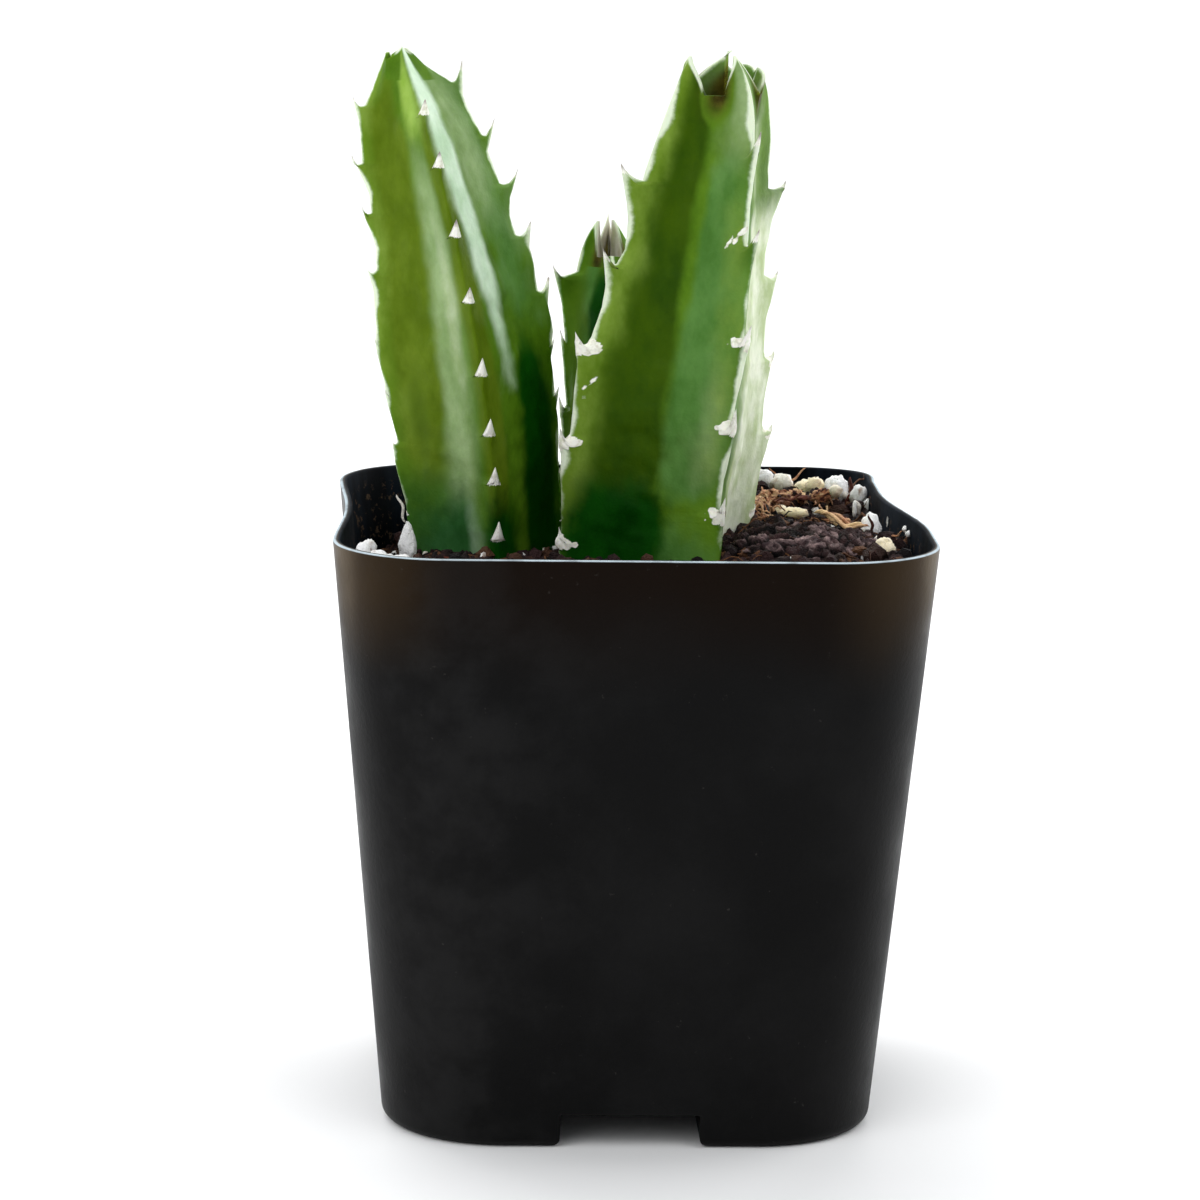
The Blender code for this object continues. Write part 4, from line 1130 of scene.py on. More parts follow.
def make_soil(finish):
    """The mix fills the pot to 0.3 mm from its wall and floor, and its top is a fine rough surface."""
    inset = WALL + GAP
    base = inset + BASE_ROUND
    place_of = np.linspace(-BASE_HALF, BASE_HALF, SOIL_STATIONS)
    height_of = inset + CHANNEL_HEIGHT * (1.0 - ramp(np.abs(place_of), *CHANNEL_FALL))
    under = floor_grid(place_of, height_of, pot_half(inset) - base, pot_corner(inset) - base, 0.0)
    grid_x, grid_y = np.meshgrid(place_of, place_of, indexing="xy")
    x, y = rounded_square(grid_x, grid_y, pot_half(SOIL_LEVEL) - inset, pot_corner(SOIL_LEVEL) - inset)
    outward = np.maximum(np.abs(grid_x), np.abs(grid_y)) / BASE_HALF
    x = x - wall_bow(x, y, SOIL_LEVEL) * outward**4
    top = np.stack([x, y, crumbly_height(x, y)], -1)
    edge = edge_of(top)
    across, along = border(place_of)
    start = np.maximum(base, border_heights(height_of))
    rings = [edge_of(under)]
    for share in np.linspace(0.0, 1.0, SOIL_RINGS)[:-1]:
        level = start + (edge[:, 2] - start) * share
        x, y = wall_point(across, along, level, inset)
        rings.append(np.stack([x, y, level], -1))
    points, faces = closed_shell(np.array([*rings, edge]), under, top)
    tone = 0.4 + 0.3 * rough(points, 6.0 * MM, 21, 3)
    # Painted shade: the mix turns black in the second to the fourth sink
    for px, py, radius, _ in SINKS[1:4]:
        tone = tone - 1.2 * mound(points[:, 0], points[:, 1], px, py, 1.2 * radius)
    piece("potting_mix", points, faces, finish, ("soil",), {"tone": tone})


def lump_shape(rows, columns):
    """A unit ball as a grid from its lower pole to its upper pole."""
    up = np.linspace(-math.pi / 2.0, math.pi / 2.0, rows)
    turn = np.linspace(0.0, 2.0 * math.pi, columns, endpoint=False)
    up, turn = np.meshgrid(up, turn, indexing="ij")
    return np.stack([np.cos(up) * np.cos(turn), np.cos(up) * np.sin(turn), np.sin(up)], -1)


def turn_matrices(turns, tilts):
    """Rotations about Z after a tilt about X, one for each lump."""
    ct, st = np.cos(turns), np.sin(turns)
    cx, sx = np.cos(tilts), np.sin(tilts)
    rows = [
        np.stack([ct, -st * cx, st * sx], -1),
        np.stack([st, ct * cx, -ct * sx], -1),
        np.stack([np.zeros_like(ct), sx, cx], -1),
    ]
    return np.stack(rows, 1)


def scattered_lumps(middles, sizes, turns, tilts, jitter, draw, rows=5, columns=7):
    """Many small irregular lumps: one coarse ball with each point drawn in or out, then sized and turned."""
    shape = lump_shape(rows, columns)
    count = len(middles)
    reach = 1.0 + draw.uniform(-jitter, jitter, (count, rows, columns, 1))
    reach[:, 0] = reach[:, 0, :1]
    reach[:, -1] = reach[:, -1, :1]
    local = shape[None] * reach * sizes[:, None, None, :]
    points = np.einsum("nij,nrcj->nrci", turn_matrices(turns, tilts), local) + middles[:, None, None, :]
    return points, repeated_faces(count, rows, columns)


def clear_of_stems(x, y, margin):
    """True where a spot on the mix lies outside every stem's foot."""
    clear = np.ones(len(x), bool)
    for spec in STEMS.values():
        far = np.hypot(x - spec["foot"][0], y - spec["foot"][1])
        clear &= far > spec["foot_radius"] * CLEAR_SHARE + margin
    return clear


def soil_spots(draw, count, spread):
    """Seeded spots on the mix, away from the stems, the wall and the two deep hollows."""
    x, y = draw.uniform(-spread, spread, (count * 2, 2)).T
    kept = clear_of_stems(x, y, 0.3 * MM) & in_pot(x, y, 1.1 * MM)
    for px, py, radius, _ in SINKS[1:3]:
        kept &= np.hypot(x - px, y - py) > radius
    return x[kept][:count], y[kept][:count]


def on_mix(x, y, lift):
    """Points that stand on the mix, raised by lift."""
    return np.stack([x, y, crumbly_height(x, y) + lift], -1)


def make_crumbs(finish):
    """Crumbs of peat all over the mix, most of them small, each sunk a little."""
    draw = np.random.default_rng(31)
    x, y = soil_spots(draw, *CRUMB_SPOTS)
    size = 0.28 * MM + 0.75 * MM * draw.uniform(0.0, 1.0, len(x)) ** 2.4
    sizes = size[:, None] * draw.uniform(0.6, 1.3, (len(x), 3))
    turns = draw.uniform(0.0, 2.0 * math.pi, len(x))
    tilts = draw.uniform(-0.8, 0.8, len(x))
    points, faces = scattered_lumps(on_mix(x, y, 0.2 * size), sizes, turns, tilts, 0.28, draw)
    tone = for_each(draw.uniform(0.0, 0.75, len(x)), points)
    piece("peat_crumbs", keep_inside(points), faces, finish, (), {"tone": tone}, sharp=38.0)


def pointed(share, power):
    """A tube's thickness along it: full in the middle, and rounded off to a point at either end."""
    return np.sin(np.clip(share * 1.04 - 0.02, 0.0, 1.0) * math.pi) ** power


def tubes(path, side, along, radius, sides):
    """Round tubes: at each point of each path, a ring of that radius that is square to the path."""
    over = np.cross(side, along)
    angle = np.linspace(0.0, 2.0 * math.pi, sides, endpoint=False)
    ring = side[:, :, None] * np.cos(angle)[:, None] - over[:, :, None] * np.sin(angle)[:, None]
    points = path[:, :, None] + ring * radius[:, :, None, None]
    return points, repeated_faces(len(path), path.shape[1], sides)


def threads(starts, headings, lengths, thickness, climb, curl, draw):
    """Thin tubes that wander over the mix: each step turns the heading a little, and the ends are pointed."""
    count, rows, sides = len(starts), 9, 5
    step = (lengths / (rows - 1))[:, None]
    heading = draw.normal(0.0, curl, (count, rows - 1)).cumsum(1) + headings[:, None]
    still = np.zeros((count, 1))
    x = starts[:, :1] + np.concatenate([still, (np.cos(heading) * step).cumsum(1)], 1)
    y = starts[:, 1:] + np.concatenate([still, (np.sin(heading) * step).cumsum(1)], 1)
    x, y = np.clip(x, -THREAD_REACH, THREAD_REACH), np.clip(y, -THREAD_REACH, THREAD_REACH)
    share = np.linspace(0.0, 1.0, rows)[None, :]
    lift = climb[:, None] * np.sin(share * math.pi * draw.uniform(0.5, 1.1, count)[:, None])
    path = np.stack([x, y, crumbly_height(x, y) + 0.1 * MM + lift], -1)
    along = np.gradient(path, axis=1)
    along /= np.linalg.norm(along, axis=-1, keepdims=True) + 1e-12
    side = np.cross(along, np.array([0.0, 0.0, 1.0]))
    side /= np.linalg.norm(side, axis=-1, keepdims=True) + 1e-12
    return tubes(path, side, along, thickness[:, None] * pointed(share, 0.4), sides)


def make_fibres(finish):
    """Fine roots and coir threads that lie over the mix, some arching up."""
    draw = np.random.default_rng(47)
    x, y = soil_spots(draw, *FIBRE_SPOTS)
    count = len(x)
    starts = np.stack([x, y], -1)
    headings = draw.uniform(0.0, 2.0 * math.pi, count)
    lengths = draw.uniform(2.0, 8.0, count) * MM
    thickness = draw.uniform(0.05, 0.17, count) * MM
    climb = draw.uniform(0.1, 1.3, count) ** 2 * MM * ramp(x, 4.0 * MM, 14.0 * MM)
    points, faces = threads(starts, headings, lengths, thickness, climb, 0.3, draw)
    tone = for_each(draw.uniform(0.2, 1.0, count), points)
    piece("root_fibres", keep_inside(points), faces, finish, (), {"tone": tone})


# Small grains and splinters that show at the right and the front left: middle and half sizes in
# millimetres, turn in degrees and how cream they are.
SMALL_PERLITE = (
    ((16.2, 26.4, 63.0), (1.5, 1.0, 1.4), 10.0, 0.0),
    ((18.3, 25.2, 63.0), (1.4, 1.0, 1.15), -25.0, 0.4),
    ((21.9, 23.4, 63.1), (1.15, 1.0, 1.0), 15.0, 0.8),
    ((26.6, 20.0, 62.4), (1.05, 0.9, 1.3), 15.0, 0.1),
    ((27.6, 17.8, 61.8), (0.6, 0.7, 0.8), 40.0, 0.1),
    ((18.6, 9.4, 62.3), (1.6, 0.8, 0.6), -12.0, 0.9),
    ((17.2, 12.6, 62.1), (0.9, 0.6, 0.5), 30.0, 0.8),
    ((24.0, 20.2, 63.0), (0.8, 0.6, 0.7), 0.0, 0.6),
    ((29.2, 4.6, 62.2), (0.45, 0.4, 0.55), 0.0, 0.1),
    ((29.9, -2.6, 62.6), (0.5, 0.5, 0.4), 0.0, 0.1),
    ((30.0, -4.4, 62.4), (0.4, 0.4, 0.35), 0.0, 0.0),
    ((-27.0, -23.6, 62.5), (1.2, 1.0, 0.95), 20.0, 0.0),
    ((-24.6, -24.4, 62.4), (1.2, 0.9, 0.8), -10.0, 0.0),
    ((-28.6, -20.2, 62.4), (0.8, 1.0, 1.2), 0.0, 0.0),
    ((-28.0, -16.0, 62.3), (0.8, 0.8, 1.0), 0.0, 0.1),
    ((-22.4, -24.4, 61.4), (0.8, 0.8, 0.6), 0.0, 0.1),
    ((25.5, 11.9, 62.4), (0.25, 0.3, 0.9), 0.0, 0.2),
)
# Splinters: middle, half sizes, turn and tilt in degrees and tone
SPLINTERS = (
    ((23.4, 1.8, 62.3), (2.6, 0.30, 0.22), -52.0, 8.0, 0.9),
    ((24.2, -0.6, 62.1), (2.3, 0.26, 0.20), -60.0, -6.0, 0.6),
    ((22.8, 3.6, 62.4), (1.9, 0.22, 0.2), -38.0, 12.0, 1.0),
    ((17.2, 17.6, 62.4), (1.7, 0.5, 0.35), 12.0, 10.0, 0.8),
    ((15.6, 13.0, 62.1), (1.8, 0.55, 0.35), -24.0, -8.0, 0.7),
    ((14.8, 9.6, 61.9), (1.4, 0.5, 0.3), 32.0, 10.0, 0.8),
    ((17.6, 15.0, 62.5), (1.3, 0.45, 0.3), -40.0, 0.0, 0.5),
    ((20.3, 17.8, 62.6), (1.4, 0.4, 0.3), 48.0, 5.0, 0.4),
    ((16.0, 5.2, 61.9), (1.0, 0.35, 0.25), 60.0, 0.0, 0.6),
    ((13.6, 6.6, 61.6), (0.9, 0.3, 0.25), -10.0, 0.0, 0.7),
)
# Clumps of bark: middle and half sizes
BARK_CLUMPS = (
    ((17.2, 18.4, 62.5), (1.7, 1.1, 0.8)),
    ((14.8, 12.6, 62.2), (1.5, 1.2, 0.9)),
    ((15.2, 16.0, 62.2), (1.2, 1.0, 0.8)),
    ((19.6, 19.4, 62.4), (1.3, 1.0, 0.8)),
    ((22.6, 20.4, 62.3), (1.5, 0.9, 0.8)),
    ((13.6, 8.8, 62.1), (1.0, 0.9, 0.8)),
)
# The threads that stand off the clumps
CLUMP_HAIRS = 60
# The peat block: middle, half sizes, turn about Z in degrees
PEAT_BLOCK = ((18.7, -8.6, 61.6), (8.0, 8.6, 2.15), -14.0)
# Its chunks, and how the space in which they are laid out is squeezed along, across and up
PEAT_CHUNKS = 170
PEAT_SQUEEZE = np.array([0.5, 1.1, 1.4])
# Twigs: one end, the other end, thickness, tone
TWIGS = (
    ((25.4, 20.0, 61.0), (25.9, 20.6, 64.6), 0.26, 0.25),
    ((26.2, 12.6, 61.6), (25.6, 12.0, 63.4), 0.3, 2.6),
    ((17.4, 27.6, 62.0), (21.4, 28.2, 64.2), 0.14, 0.9),
    ((18.6, 28.4, 62.0), (17.2, 28.6, 64.4), 0.10, 0.8),
    ((26.4, -1.6, 61.4), (25.9, -2.2, 64.1), 0.18, 0.1),
    ((20.2, 2.8, 63.4), (25.2, -3.8, 62.8), 0.34, 1.6),
    ((20.8, 1.2, 63.5), (25.4, -5.4, 62.9), 0.24, 1.3),
    ((22.0, 3.2, 63.1), (26.0, -1.8, 62.4), 0.22, 0.8),
    ((27.6, -6.0, 62.2), (29.0, -8.0, 63.2), 0.12, 0.9),
    ((-24.2, -4.1, 63.0), (-25.1, -4.1, 66.2), 0.17, 2.6),
    ((16.8, 13.6, 62.8), (20.0, 16.2, 63.2), 0.16, 0.4),
)


def make_small_perlite(finish):
    """The small loose grains as listed, and seeded crumbs of perlite all over the mix."""
    draw = np.random.default_rng(59)
    middles, sizes = column(SMALL_PERLITE, 0) * MM, column(SMALL_PERLITE, 1) * MM
    turns, cream = np.radians(column(SMALL_PERLITE, 2)), column(SMALL_PERLITE, 3)
    grains, faces = scattered_lumps(middles, sizes, turns, turns * 0.3, 0.16, draw, 11, 14)
    x, y = soil_spots(draw, *PERLITE_SPOTS)
    size = draw.uniform(0.2, 0.62, len(x)) * MM
    spots = on_mix(x, y, 0.3 * size)
    sizes = size[:, None] * draw.uniform(0.7, 1.2, (len(x), 3))
    turns = draw.uniform(0.0, 6.0, len(x))
    crumbs, crumb_faces = scattered_lumps(spots, sizes, turns, turns * 0.2, 0.2, draw, 6, 8)
    crumb_cream = for_each(draw.uniform(0, 0.5, len(x)), crumbs)
    points, faces = joined(grains, faces, crumbs, crumb_faces)
    cream = np.concatenate([for_each(cream, grains).ravel(), crumb_cream.ravel()])
    masks = {"cream": cream, "dirt": 0.25 + 0.35 * rough(points, 1.2 * MM, 3, 2)}
    piece("perlite_crumbs", keep_inside(points), faces, finish, (), masks)


def make_splinters(finish):
    """Thin splinters of bark, listed where they show and seeded over the rest of the mix."""
    draw = np.random.default_rng(61)
    x, y = soil_spots(draw, *SPLINTER_SPOTS)
    size = draw.uniform(0.5, 1.3, len(x)) * MM
    shape = np.stack([size, size * 0.24, size * 0.18], -1)
    middles = np.concatenate([column(SPLINTERS, 0) * MM, on_mix(x, y, 0.1 * MM)])
    sizes = np.concatenate([column(SPLINTERS, 1) * MM, shape])
    turns = np.concatenate([np.radians(column(SPLINTERS, 2)), draw.uniform(0, 6.3, len(x))])
    tilts = np.concatenate([np.radians(column(SPLINTERS, 3)), draw.uniform(-0.3, 0.3, len(x))])
    tones = np.concatenate([column(SPLINTERS, 4), draw.uniform(0, 0.8, len(x))])
    points, faces = scattered_lumps(middles, sizes, turns, tilts, 0.3, draw, 7, 6)
    masks = {"tone": for_each(tones, points)}
    piece("bark_splinters", keep_inside(points), faces, finish, (), masks, sharp=30.0)


def make_bark_clumps(finish):
    """Torn clumps of orange bark behind the peat: rough lumps with short threads that stand off them."""
    draw = np.random.default_rng(67)
    middles, sizes = column(BARK_CLUMPS, 0) * MM, column(BARK_CLUMPS, 1) * MM
    turns = draw.uniform(0.0, 6.3, len(middles))
    clumps, faces = scattered_lumps(middles, sizes, turns, 0.1 * turns, 0.35, draw, 14, 20)
    tone = 0.9 + 0.7 * rough(clumps, 1.1 * MM, 17, 2)
    pick = draw.integers(0, len(middles), CLUMP_HAIRS)
    starts = middles[pick, :2] + draw.normal(0.0, 0.7, (CLUMP_HAIRS, 2)) * MM
    lengths = draw.uniform(1.2, 3.2, CLUMP_HAIRS) * MM
    thickness = draw.uniform(0.07, 0.16, CLUMP_HAIRS) * MM
    climb = draw.uniform(0.7, 1.5, CLUMP_HAIRS) * MM
    headings = draw.uniform(0.0, 6.3, CLUMP_HAIRS)
    hair, hair_faces = threads(starts, headings, lengths, thickness, climb, 0.35, draw)
    hair_tone = for_each(draw.uniform(0.5, 1.5, CLUMP_HAIRS), hair)
    points, faces = joined(clumps, faces, hair, hair_faces)
    masks = {"tone": np.concatenate([tone.ravel(), hair_tone.ravel()])}
    piece("bark_clumps", keep_inside(points), faces, finish, (), masks)


def make_peat_block(finish):
    """The block of fibrous peat at the front right: a flat ball broken into slanting chunks.

    A chunk is the part of the ball that lies nearest to one of many seeded middles, measured in a space that
    is squeezed along the fibres. Each stands out along the ball's normal by a height of its own, slants, and
    falls off into a crack where it meets the next. Waves folded at zero crease it finely. The cracks and
    creases are darkened as painted shade.
    """
    draw = np.random.default_rng(23)
    middle, half_sizes, turn = PEAT_BLOCK
    half_sizes = np.array(half_sizes)
    rows, columns = 120, 190
    shape = lump_shape(rows, columns)
    squeeze = turn_matrices(np.array([0.7]), np.array([0.25]))[0].T * PEAT_SQUEEZE
    drawn = (shape * half_sizes) @ squeeze
    middles = draw.normal(size=(PEAT_CHUNKS, 3))
    middles = (middles / np.linalg.norm(middles, axis=1)[:, None] * half_sizes) @ squeeze
    apart = np.sqrt(((drawn[..., None, :] - middles) ** 2).sum(-1))
    own = apart.argmin(-1)
    nearest = np.partition(apart, 1, axis=-1)[..., :2]
    crack = 1.0 - ramp(nearest[..., 1] - nearest[..., 0], 0.0, 0.4)
    slope = ((drawn - middles[own]) * draw.normal(size=(PEAT_CHUNKS, 3))[own]).sum(-1)
    creases = np.abs(rough(drawn, 1.6, 23, 3))
    lift = 0.4 * draw.uniform(-1.0, 1.0, PEAT_CHUNKS)[own] + 0.22 * slope - 0.5 * crack - 0.3 * creases
    normal = shape / half_sizes
    normal /= np.linalg.norm(normal, axis=-1)[..., None]
    flat = shape * half_sizes + normal * lift[..., None]
    matrix = turn_matrices(np.radians([turn]), np.zeros(1))[0]
    points = (flat @ matrix.T + np.array(middle)) * MM
    # Painted shade: the pale chunks and the tone darken in the cracks and creases
    pale = smooth(draw.uniform(0.0, 1.0, PEAT_CHUNKS)[own] - 0.7 * crack - 0.3 * creases)
    masks = {"tone": 0.42 - 0.35 * crack - 0.1 * creases, "purple": pale}
    faces = grid_faces(rows, columns)
    piece("peat_block", points, faces, finish, (), masks, sharp=50.0)


def make_twigs(finish):
    """Dry twigs and roots that stand up: thin tubes between two points, bowed sideways by a sine."""
    start, end = (column(TWIGS, place)[:, None] * MM for place in (0, 1))
    share = np.linspace(0.0, 1.0, 14)[None, :, None]
    length = np.linalg.norm(end - start, axis=-1, keepdims=True)
    side = np.cross(end - start, np.array([0.3, 1.0, 0.2]))
    side /= np.linalg.norm(side, axis=-1, keepdims=True)
    path = start * (1.0 - share) + end * share
    path = path + side * 0.06 * length * np.sin(2.6 * math.pi * share)
    radius = pointed(share[..., 0], 0.3) * column(TWIGS, 2)[:, None] * MM
    points, faces = tubes(path, side, (end - start) / length, radius, 8)
    masks = {"tone": for_each(column(TWIGS, 3), points)}
    piece("dry_twigs", keep_inside(points), faces, finish, (), masks)


def knobbly(shape, seed):
    """A bubbly surface on a unit ball: the nearest of seeded knobs stands out as a bell curve."""
    ways = np.random.default_rng(seed).normal(size=(GRAIN_KNOBS, 3))
    ways /= np.linalg.norm(ways, axis=1)[:, None]
    near = (shape @ ways.T).max(-1)
    return np.exp((near - 1.0) * KNOB_SHARPNESS)


def grain_surface(name, spec, seed):
    """A loose piece of the mix: a unit ball, and it stretched, turned, and raised in knobs and fine pits."""
    middle, half_sizes, turn = spec
    shape = lump_shape(*GRAIN_SIZE)
    reach = 0.88 + 0.14 * knobbly(shape, seed) + 0.035 * rough(shape, 0.5, seed)
    local = shape * reach[..., None] * np.array(half_sizes) * MM
    local[..., :2] *= 1.0 - POINTED.get(name, 0.0) * np.clip(shape[..., 2:], 0.0, 1.0)
    matrix = turn_matrices(np.radians([turn]), np.zeros(1))[0]
    return shape, local @ matrix.T + np.array(middle) * MM


def make_grains(white, bark):
    """The loose pieces that the model holds too, each with its own tint."""
    faces = grid_faces(*GRAIN_SIZE)
    for seed, (name, spec) in enumerate(PERLITE.items(), 70):
        shape, points = grain_surface(name, spec, seed)
        cream = 0.75 if name in CREAM_PERLITE else 0.05
        masks = {"cream": cream, "dirt": 0.12 - 0.5 * shape[..., 2]}
        piece(name + "_grain", points, faces, white, (name,), masks)
    for seed, (name, spec) in enumerate(BARK.items(), 90):
        shape, points = grain_surface(name, spec, seed)
        tone, growth = BARK_TONES[name]
        tone = tone + growth * shape[..., 0] + 0.5 * waves(points * BARK_GRAIN, 1.5 * MM, 7)
        piece(name + "_grain", points, faces, bark, (name,), {"tone": tone})


# Stems

def stem_axis(spec, t):
    """The middle of the stem at a share t of its height above the mix, leaning more towards its tip."""
    lean = (1.0 - spec["bow"]) * t + spec["bow"] * t * t
    foot, tip = spec["foot"], spec["tip"]
    return foot[0] + (tip[0] - foot[0]) * lean, foot[1] + (tip[1] - foot[1]) * lean


def stem_radius(spec, t):
    """From foot to belly as a parabola, then tapering straight to a rounded tip."""
    belly, belly_at = spec["belly_radius"], spec["belly_at"]
    below = belly - (belly - spec["foot_radius"]) * (1.0 - t / belly_at) ** 2
    above = belly * (1.0 - spec["taper"] * (t - belly_at) / (1.0 - belly_at))
    cap = np.clip((t - spec["cap_at"]) / (1.0 - spec["cap_at"]), 0.0, 1.0)
    return np.where(t < belly_at, below, above * np.sqrt(1.0 - cap * cap))


def rib_swell(spec, rib, z):
    """The rib's saw-toothed crest: it swells slowly up to each node, then steps back in."""
    nodes = np.array(spec["nodes"][rib]) * MM
    index = np.searchsorted(nodes, z)
    starts = np.concatenate([[SOIL_LEVEL], nodes])
    ends = np.concatenate([nodes, [np.inf]])
    start = starts[index]
    climb = np.clip((z - start) / (ends[index] - start), 0.0, 1.0)
    rising = np.where(z > start, climb**NODE_RISE_POWER, 0.0)
    falling = np.where(index > 0, np.clip(1.0 - (z - start) / NODE_FALL, 0.0, 1.0), 0.0)
    return spec["swell"] * (np.maximum(rising, falling) - SWELL_MIDDLE)


def share_of_height(spec, z):
    return np.clip((z - SOIL_LEVEL) / (spec["top"] - SOIL_LEVEL), 0.0, 1.0)


def crest_radius(spec, rib, z):
    """A rib's distance from the axis: its outline where it has one, and the plain saw-tooth elsewhere."""
    if rib in spec["crests"]:
        heights, radii = np.array(spec["crests"][rib]).T * MM
        return np.interp(z, heights, radii)
    radius = stem_radius(spec, share_of_height(spec, z))
    fade = np.minimum(1.0, radius / (0.5 * spec["belly_radius"]))
    fade = fade * ramp(z, SOIL_LEVEL, SOIL_LEVEL + STUB_BLEND)
    return radius * spec["rib_shares"][rib] + rib_swell(spec, rib, z) * fade


def soft_crest(spec, rib, z):
    """The same outline without its steps: the mean over a few heights above and below."""
    shifts = np.linspace(-STEP_SPREAD, STEP_SPREAD, 9)
    return sum(crest_radius(spec, rib, z + shift) for shift in shifts) / len(shifts)


def face_shape(offset):
    """The section's reach at an angle from a crest: two powers of its sine and cosine added and rooted."""
    across = np.sqrt(np.sin(offset) ** 2 + CREST_ROUND)
    along = np.sqrt(np.cos(offset) ** 2 + CREST_ROUND)
    return (across**FACE_POWER + along**FACE_POWER) ** (-1.0 / FACE_POWER)


def rib_angle(spec, rib):
    """A rib's angle round the axis. 0 degrees looks along -Y and turns towards +X."""
    return math.radians(spec["first_rib"] + 90.0 * rib)


def rib_direction(spec, rib):
    """A rib's direction from the axis."""
    angle = rib_angle(spec, rib)
    return np.array([math.sin(angle), -math.cos(angle), 0.0])


def ribs_apart(around, rib):
    """How far places round the stem lie past a rib, in ribs: between -2 and 2."""
    return (around - rib + 2.0) % 4.0 - 2.0


def tooth_rise(t):
    """Degrees above level: teeth hug the lower stem, spread a little higher up and close over the tip."""
    spread = (RISE_LOW - RISE_MIDDLE) * ramp(t, 0.5, 0.78)
    return RISE_LOW - spread + (RISE_TIP - RISE_MIDDLE) * ramp(t, 0.82, 0.94)


def row_heights(spec, rib, rows):
    """Heights of the rows along one rib up to the crown: closer together round each node."""
    low, high = SOIL_LEVEL - SOIL_COLLAR, spec["crown"][0]
    z = np.linspace(low, high, 6000)
    density = np.ones(len(z))
    for node in spec["nodes"][rib]:
        density += ROW_CROWDING * bell(z - node * MM + CROWD_BELOW, CROWD_HALF)
    share = np.concatenate([[0.0], np.cumsum((density[1:] + density[:-1]) / 2.0)])
    return np.interp(np.linspace(0.0, share[-1], rows), share, z)


def stem_surface(spec, rows, columns):
    """The ribbed stem as a grid: rows up the stem, columns round it, dense near the crests and the nodes.

    A crest's slow swelling spreads over its faces as a power of the cosine, its steps only a little way as a
    bell curve. Returns the points and each one's place round the stem in ribs.
    """
    step = np.linspace(-1.0, 1.0, columns, endpoint=False)
    offset = np.sign(step) * np.abs(step) ** COLUMN_POWER * math.pi / 4.0
    own = [row_heights(spec, rib, rows) for rib in range(4)]
    lower = np.linspace(SOIL_LEVEL - STUB_DEPTH, SOIL_LEVEL - SOIL_COLLAR, STUB_ROWS, endpoint=False)
    stub = STUB_SHARE * spec["foot_radius"]
    blocks, ribs = [], []
    for rib in range(4):
        toward = np.where(step < 0.0, (rib - 1) % 4, (rib + 1) % 4)
        blend = 0.5 * smooth((np.abs(step) - 0.25) / 0.75)
        heights = own[rib][:, None] * (1.0 - blend) + np.array(own)[toward].T * blend
        heights = np.concatenate([np.repeat(lower[:, None], columns, 1), heights])
        t = share_of_height(spec, heights)
        x, y = stem_axis(spec, t)
        base = stem_radius(spec, t)
        slow = soft_crest(spec, rib, heights)
        steps = crest_radius(spec, rib, heights) - slow
        wide = np.maximum(0.0, np.cos(2.0 * offset)) ** CREST_HOLD
        narrow = bell(offset * base, STEP_HALF)
        radius = base + (slow - base) * wide + steps * narrow
        radius = radius * face_shape(offset) / face_shape(0.0)
        collar = SOIL_COLLAR - SOIL_LEVEL
        buried = ramp(-heights, collar, collar + STUB_BLEND)
        radius = radius * (1.0 - buried) + stub * buried
        angle = rib_angle(spec, rib) + offset
        blocks.append(np.stack([x + radius * np.sin(angle), y - radius * np.cos(angle), heights], -1))
        ribs.append(np.broadcast_to(rib + offset / (math.pi / 2.0), heights.shape))
    points = np.concatenate(blocks, 1)
    bottom = points[:1].mean(1, keepdims=True).repeat(points.shape[1], 1)
    around = np.concatenate(ribs, 1)
    return np.concatenate([bottom, points]), np.concatenate([around[:1], around])


def wrinkle(spec, points, round_stem):
    """Soft dents and swellings of the skin, faded out below the mix and at the tip."""
    axis_x, axis_y = stem_axis(spec, share_of_height(spec, points[..., 2]))
    outward = np.stack([points[..., 0] - axis_x, points[..., 1] - axis_y, np.zeros_like(axis_x)], -1)
    reach = np.linalg.norm(outward, axis=-1, keepdims=True) + 1e-9
    level = points[..., 2]
    top = -spec["crown"][0]
    fade = ramp(level, SOIL_LEVEL, SOIL_LEVEL + DENT_FADE) * ramp(-level, top, top + DENT_FADE)
    depth = DENT_DEPTH * rough(points, DENT_LENGTH, spec["seed"], 3)
    valley = np.abs(round_stem - np.floor(round_stem) - 0.5) * 2.0
    return points + outward / reach * (depth * fade * (1.0 - 0.6 * valley))[..., None]


def raise_to(values, part, least):
    """Raises a mask on one part of the stem to at least these values."""
    values[:, part] = np.maximum(values[:, part], least)


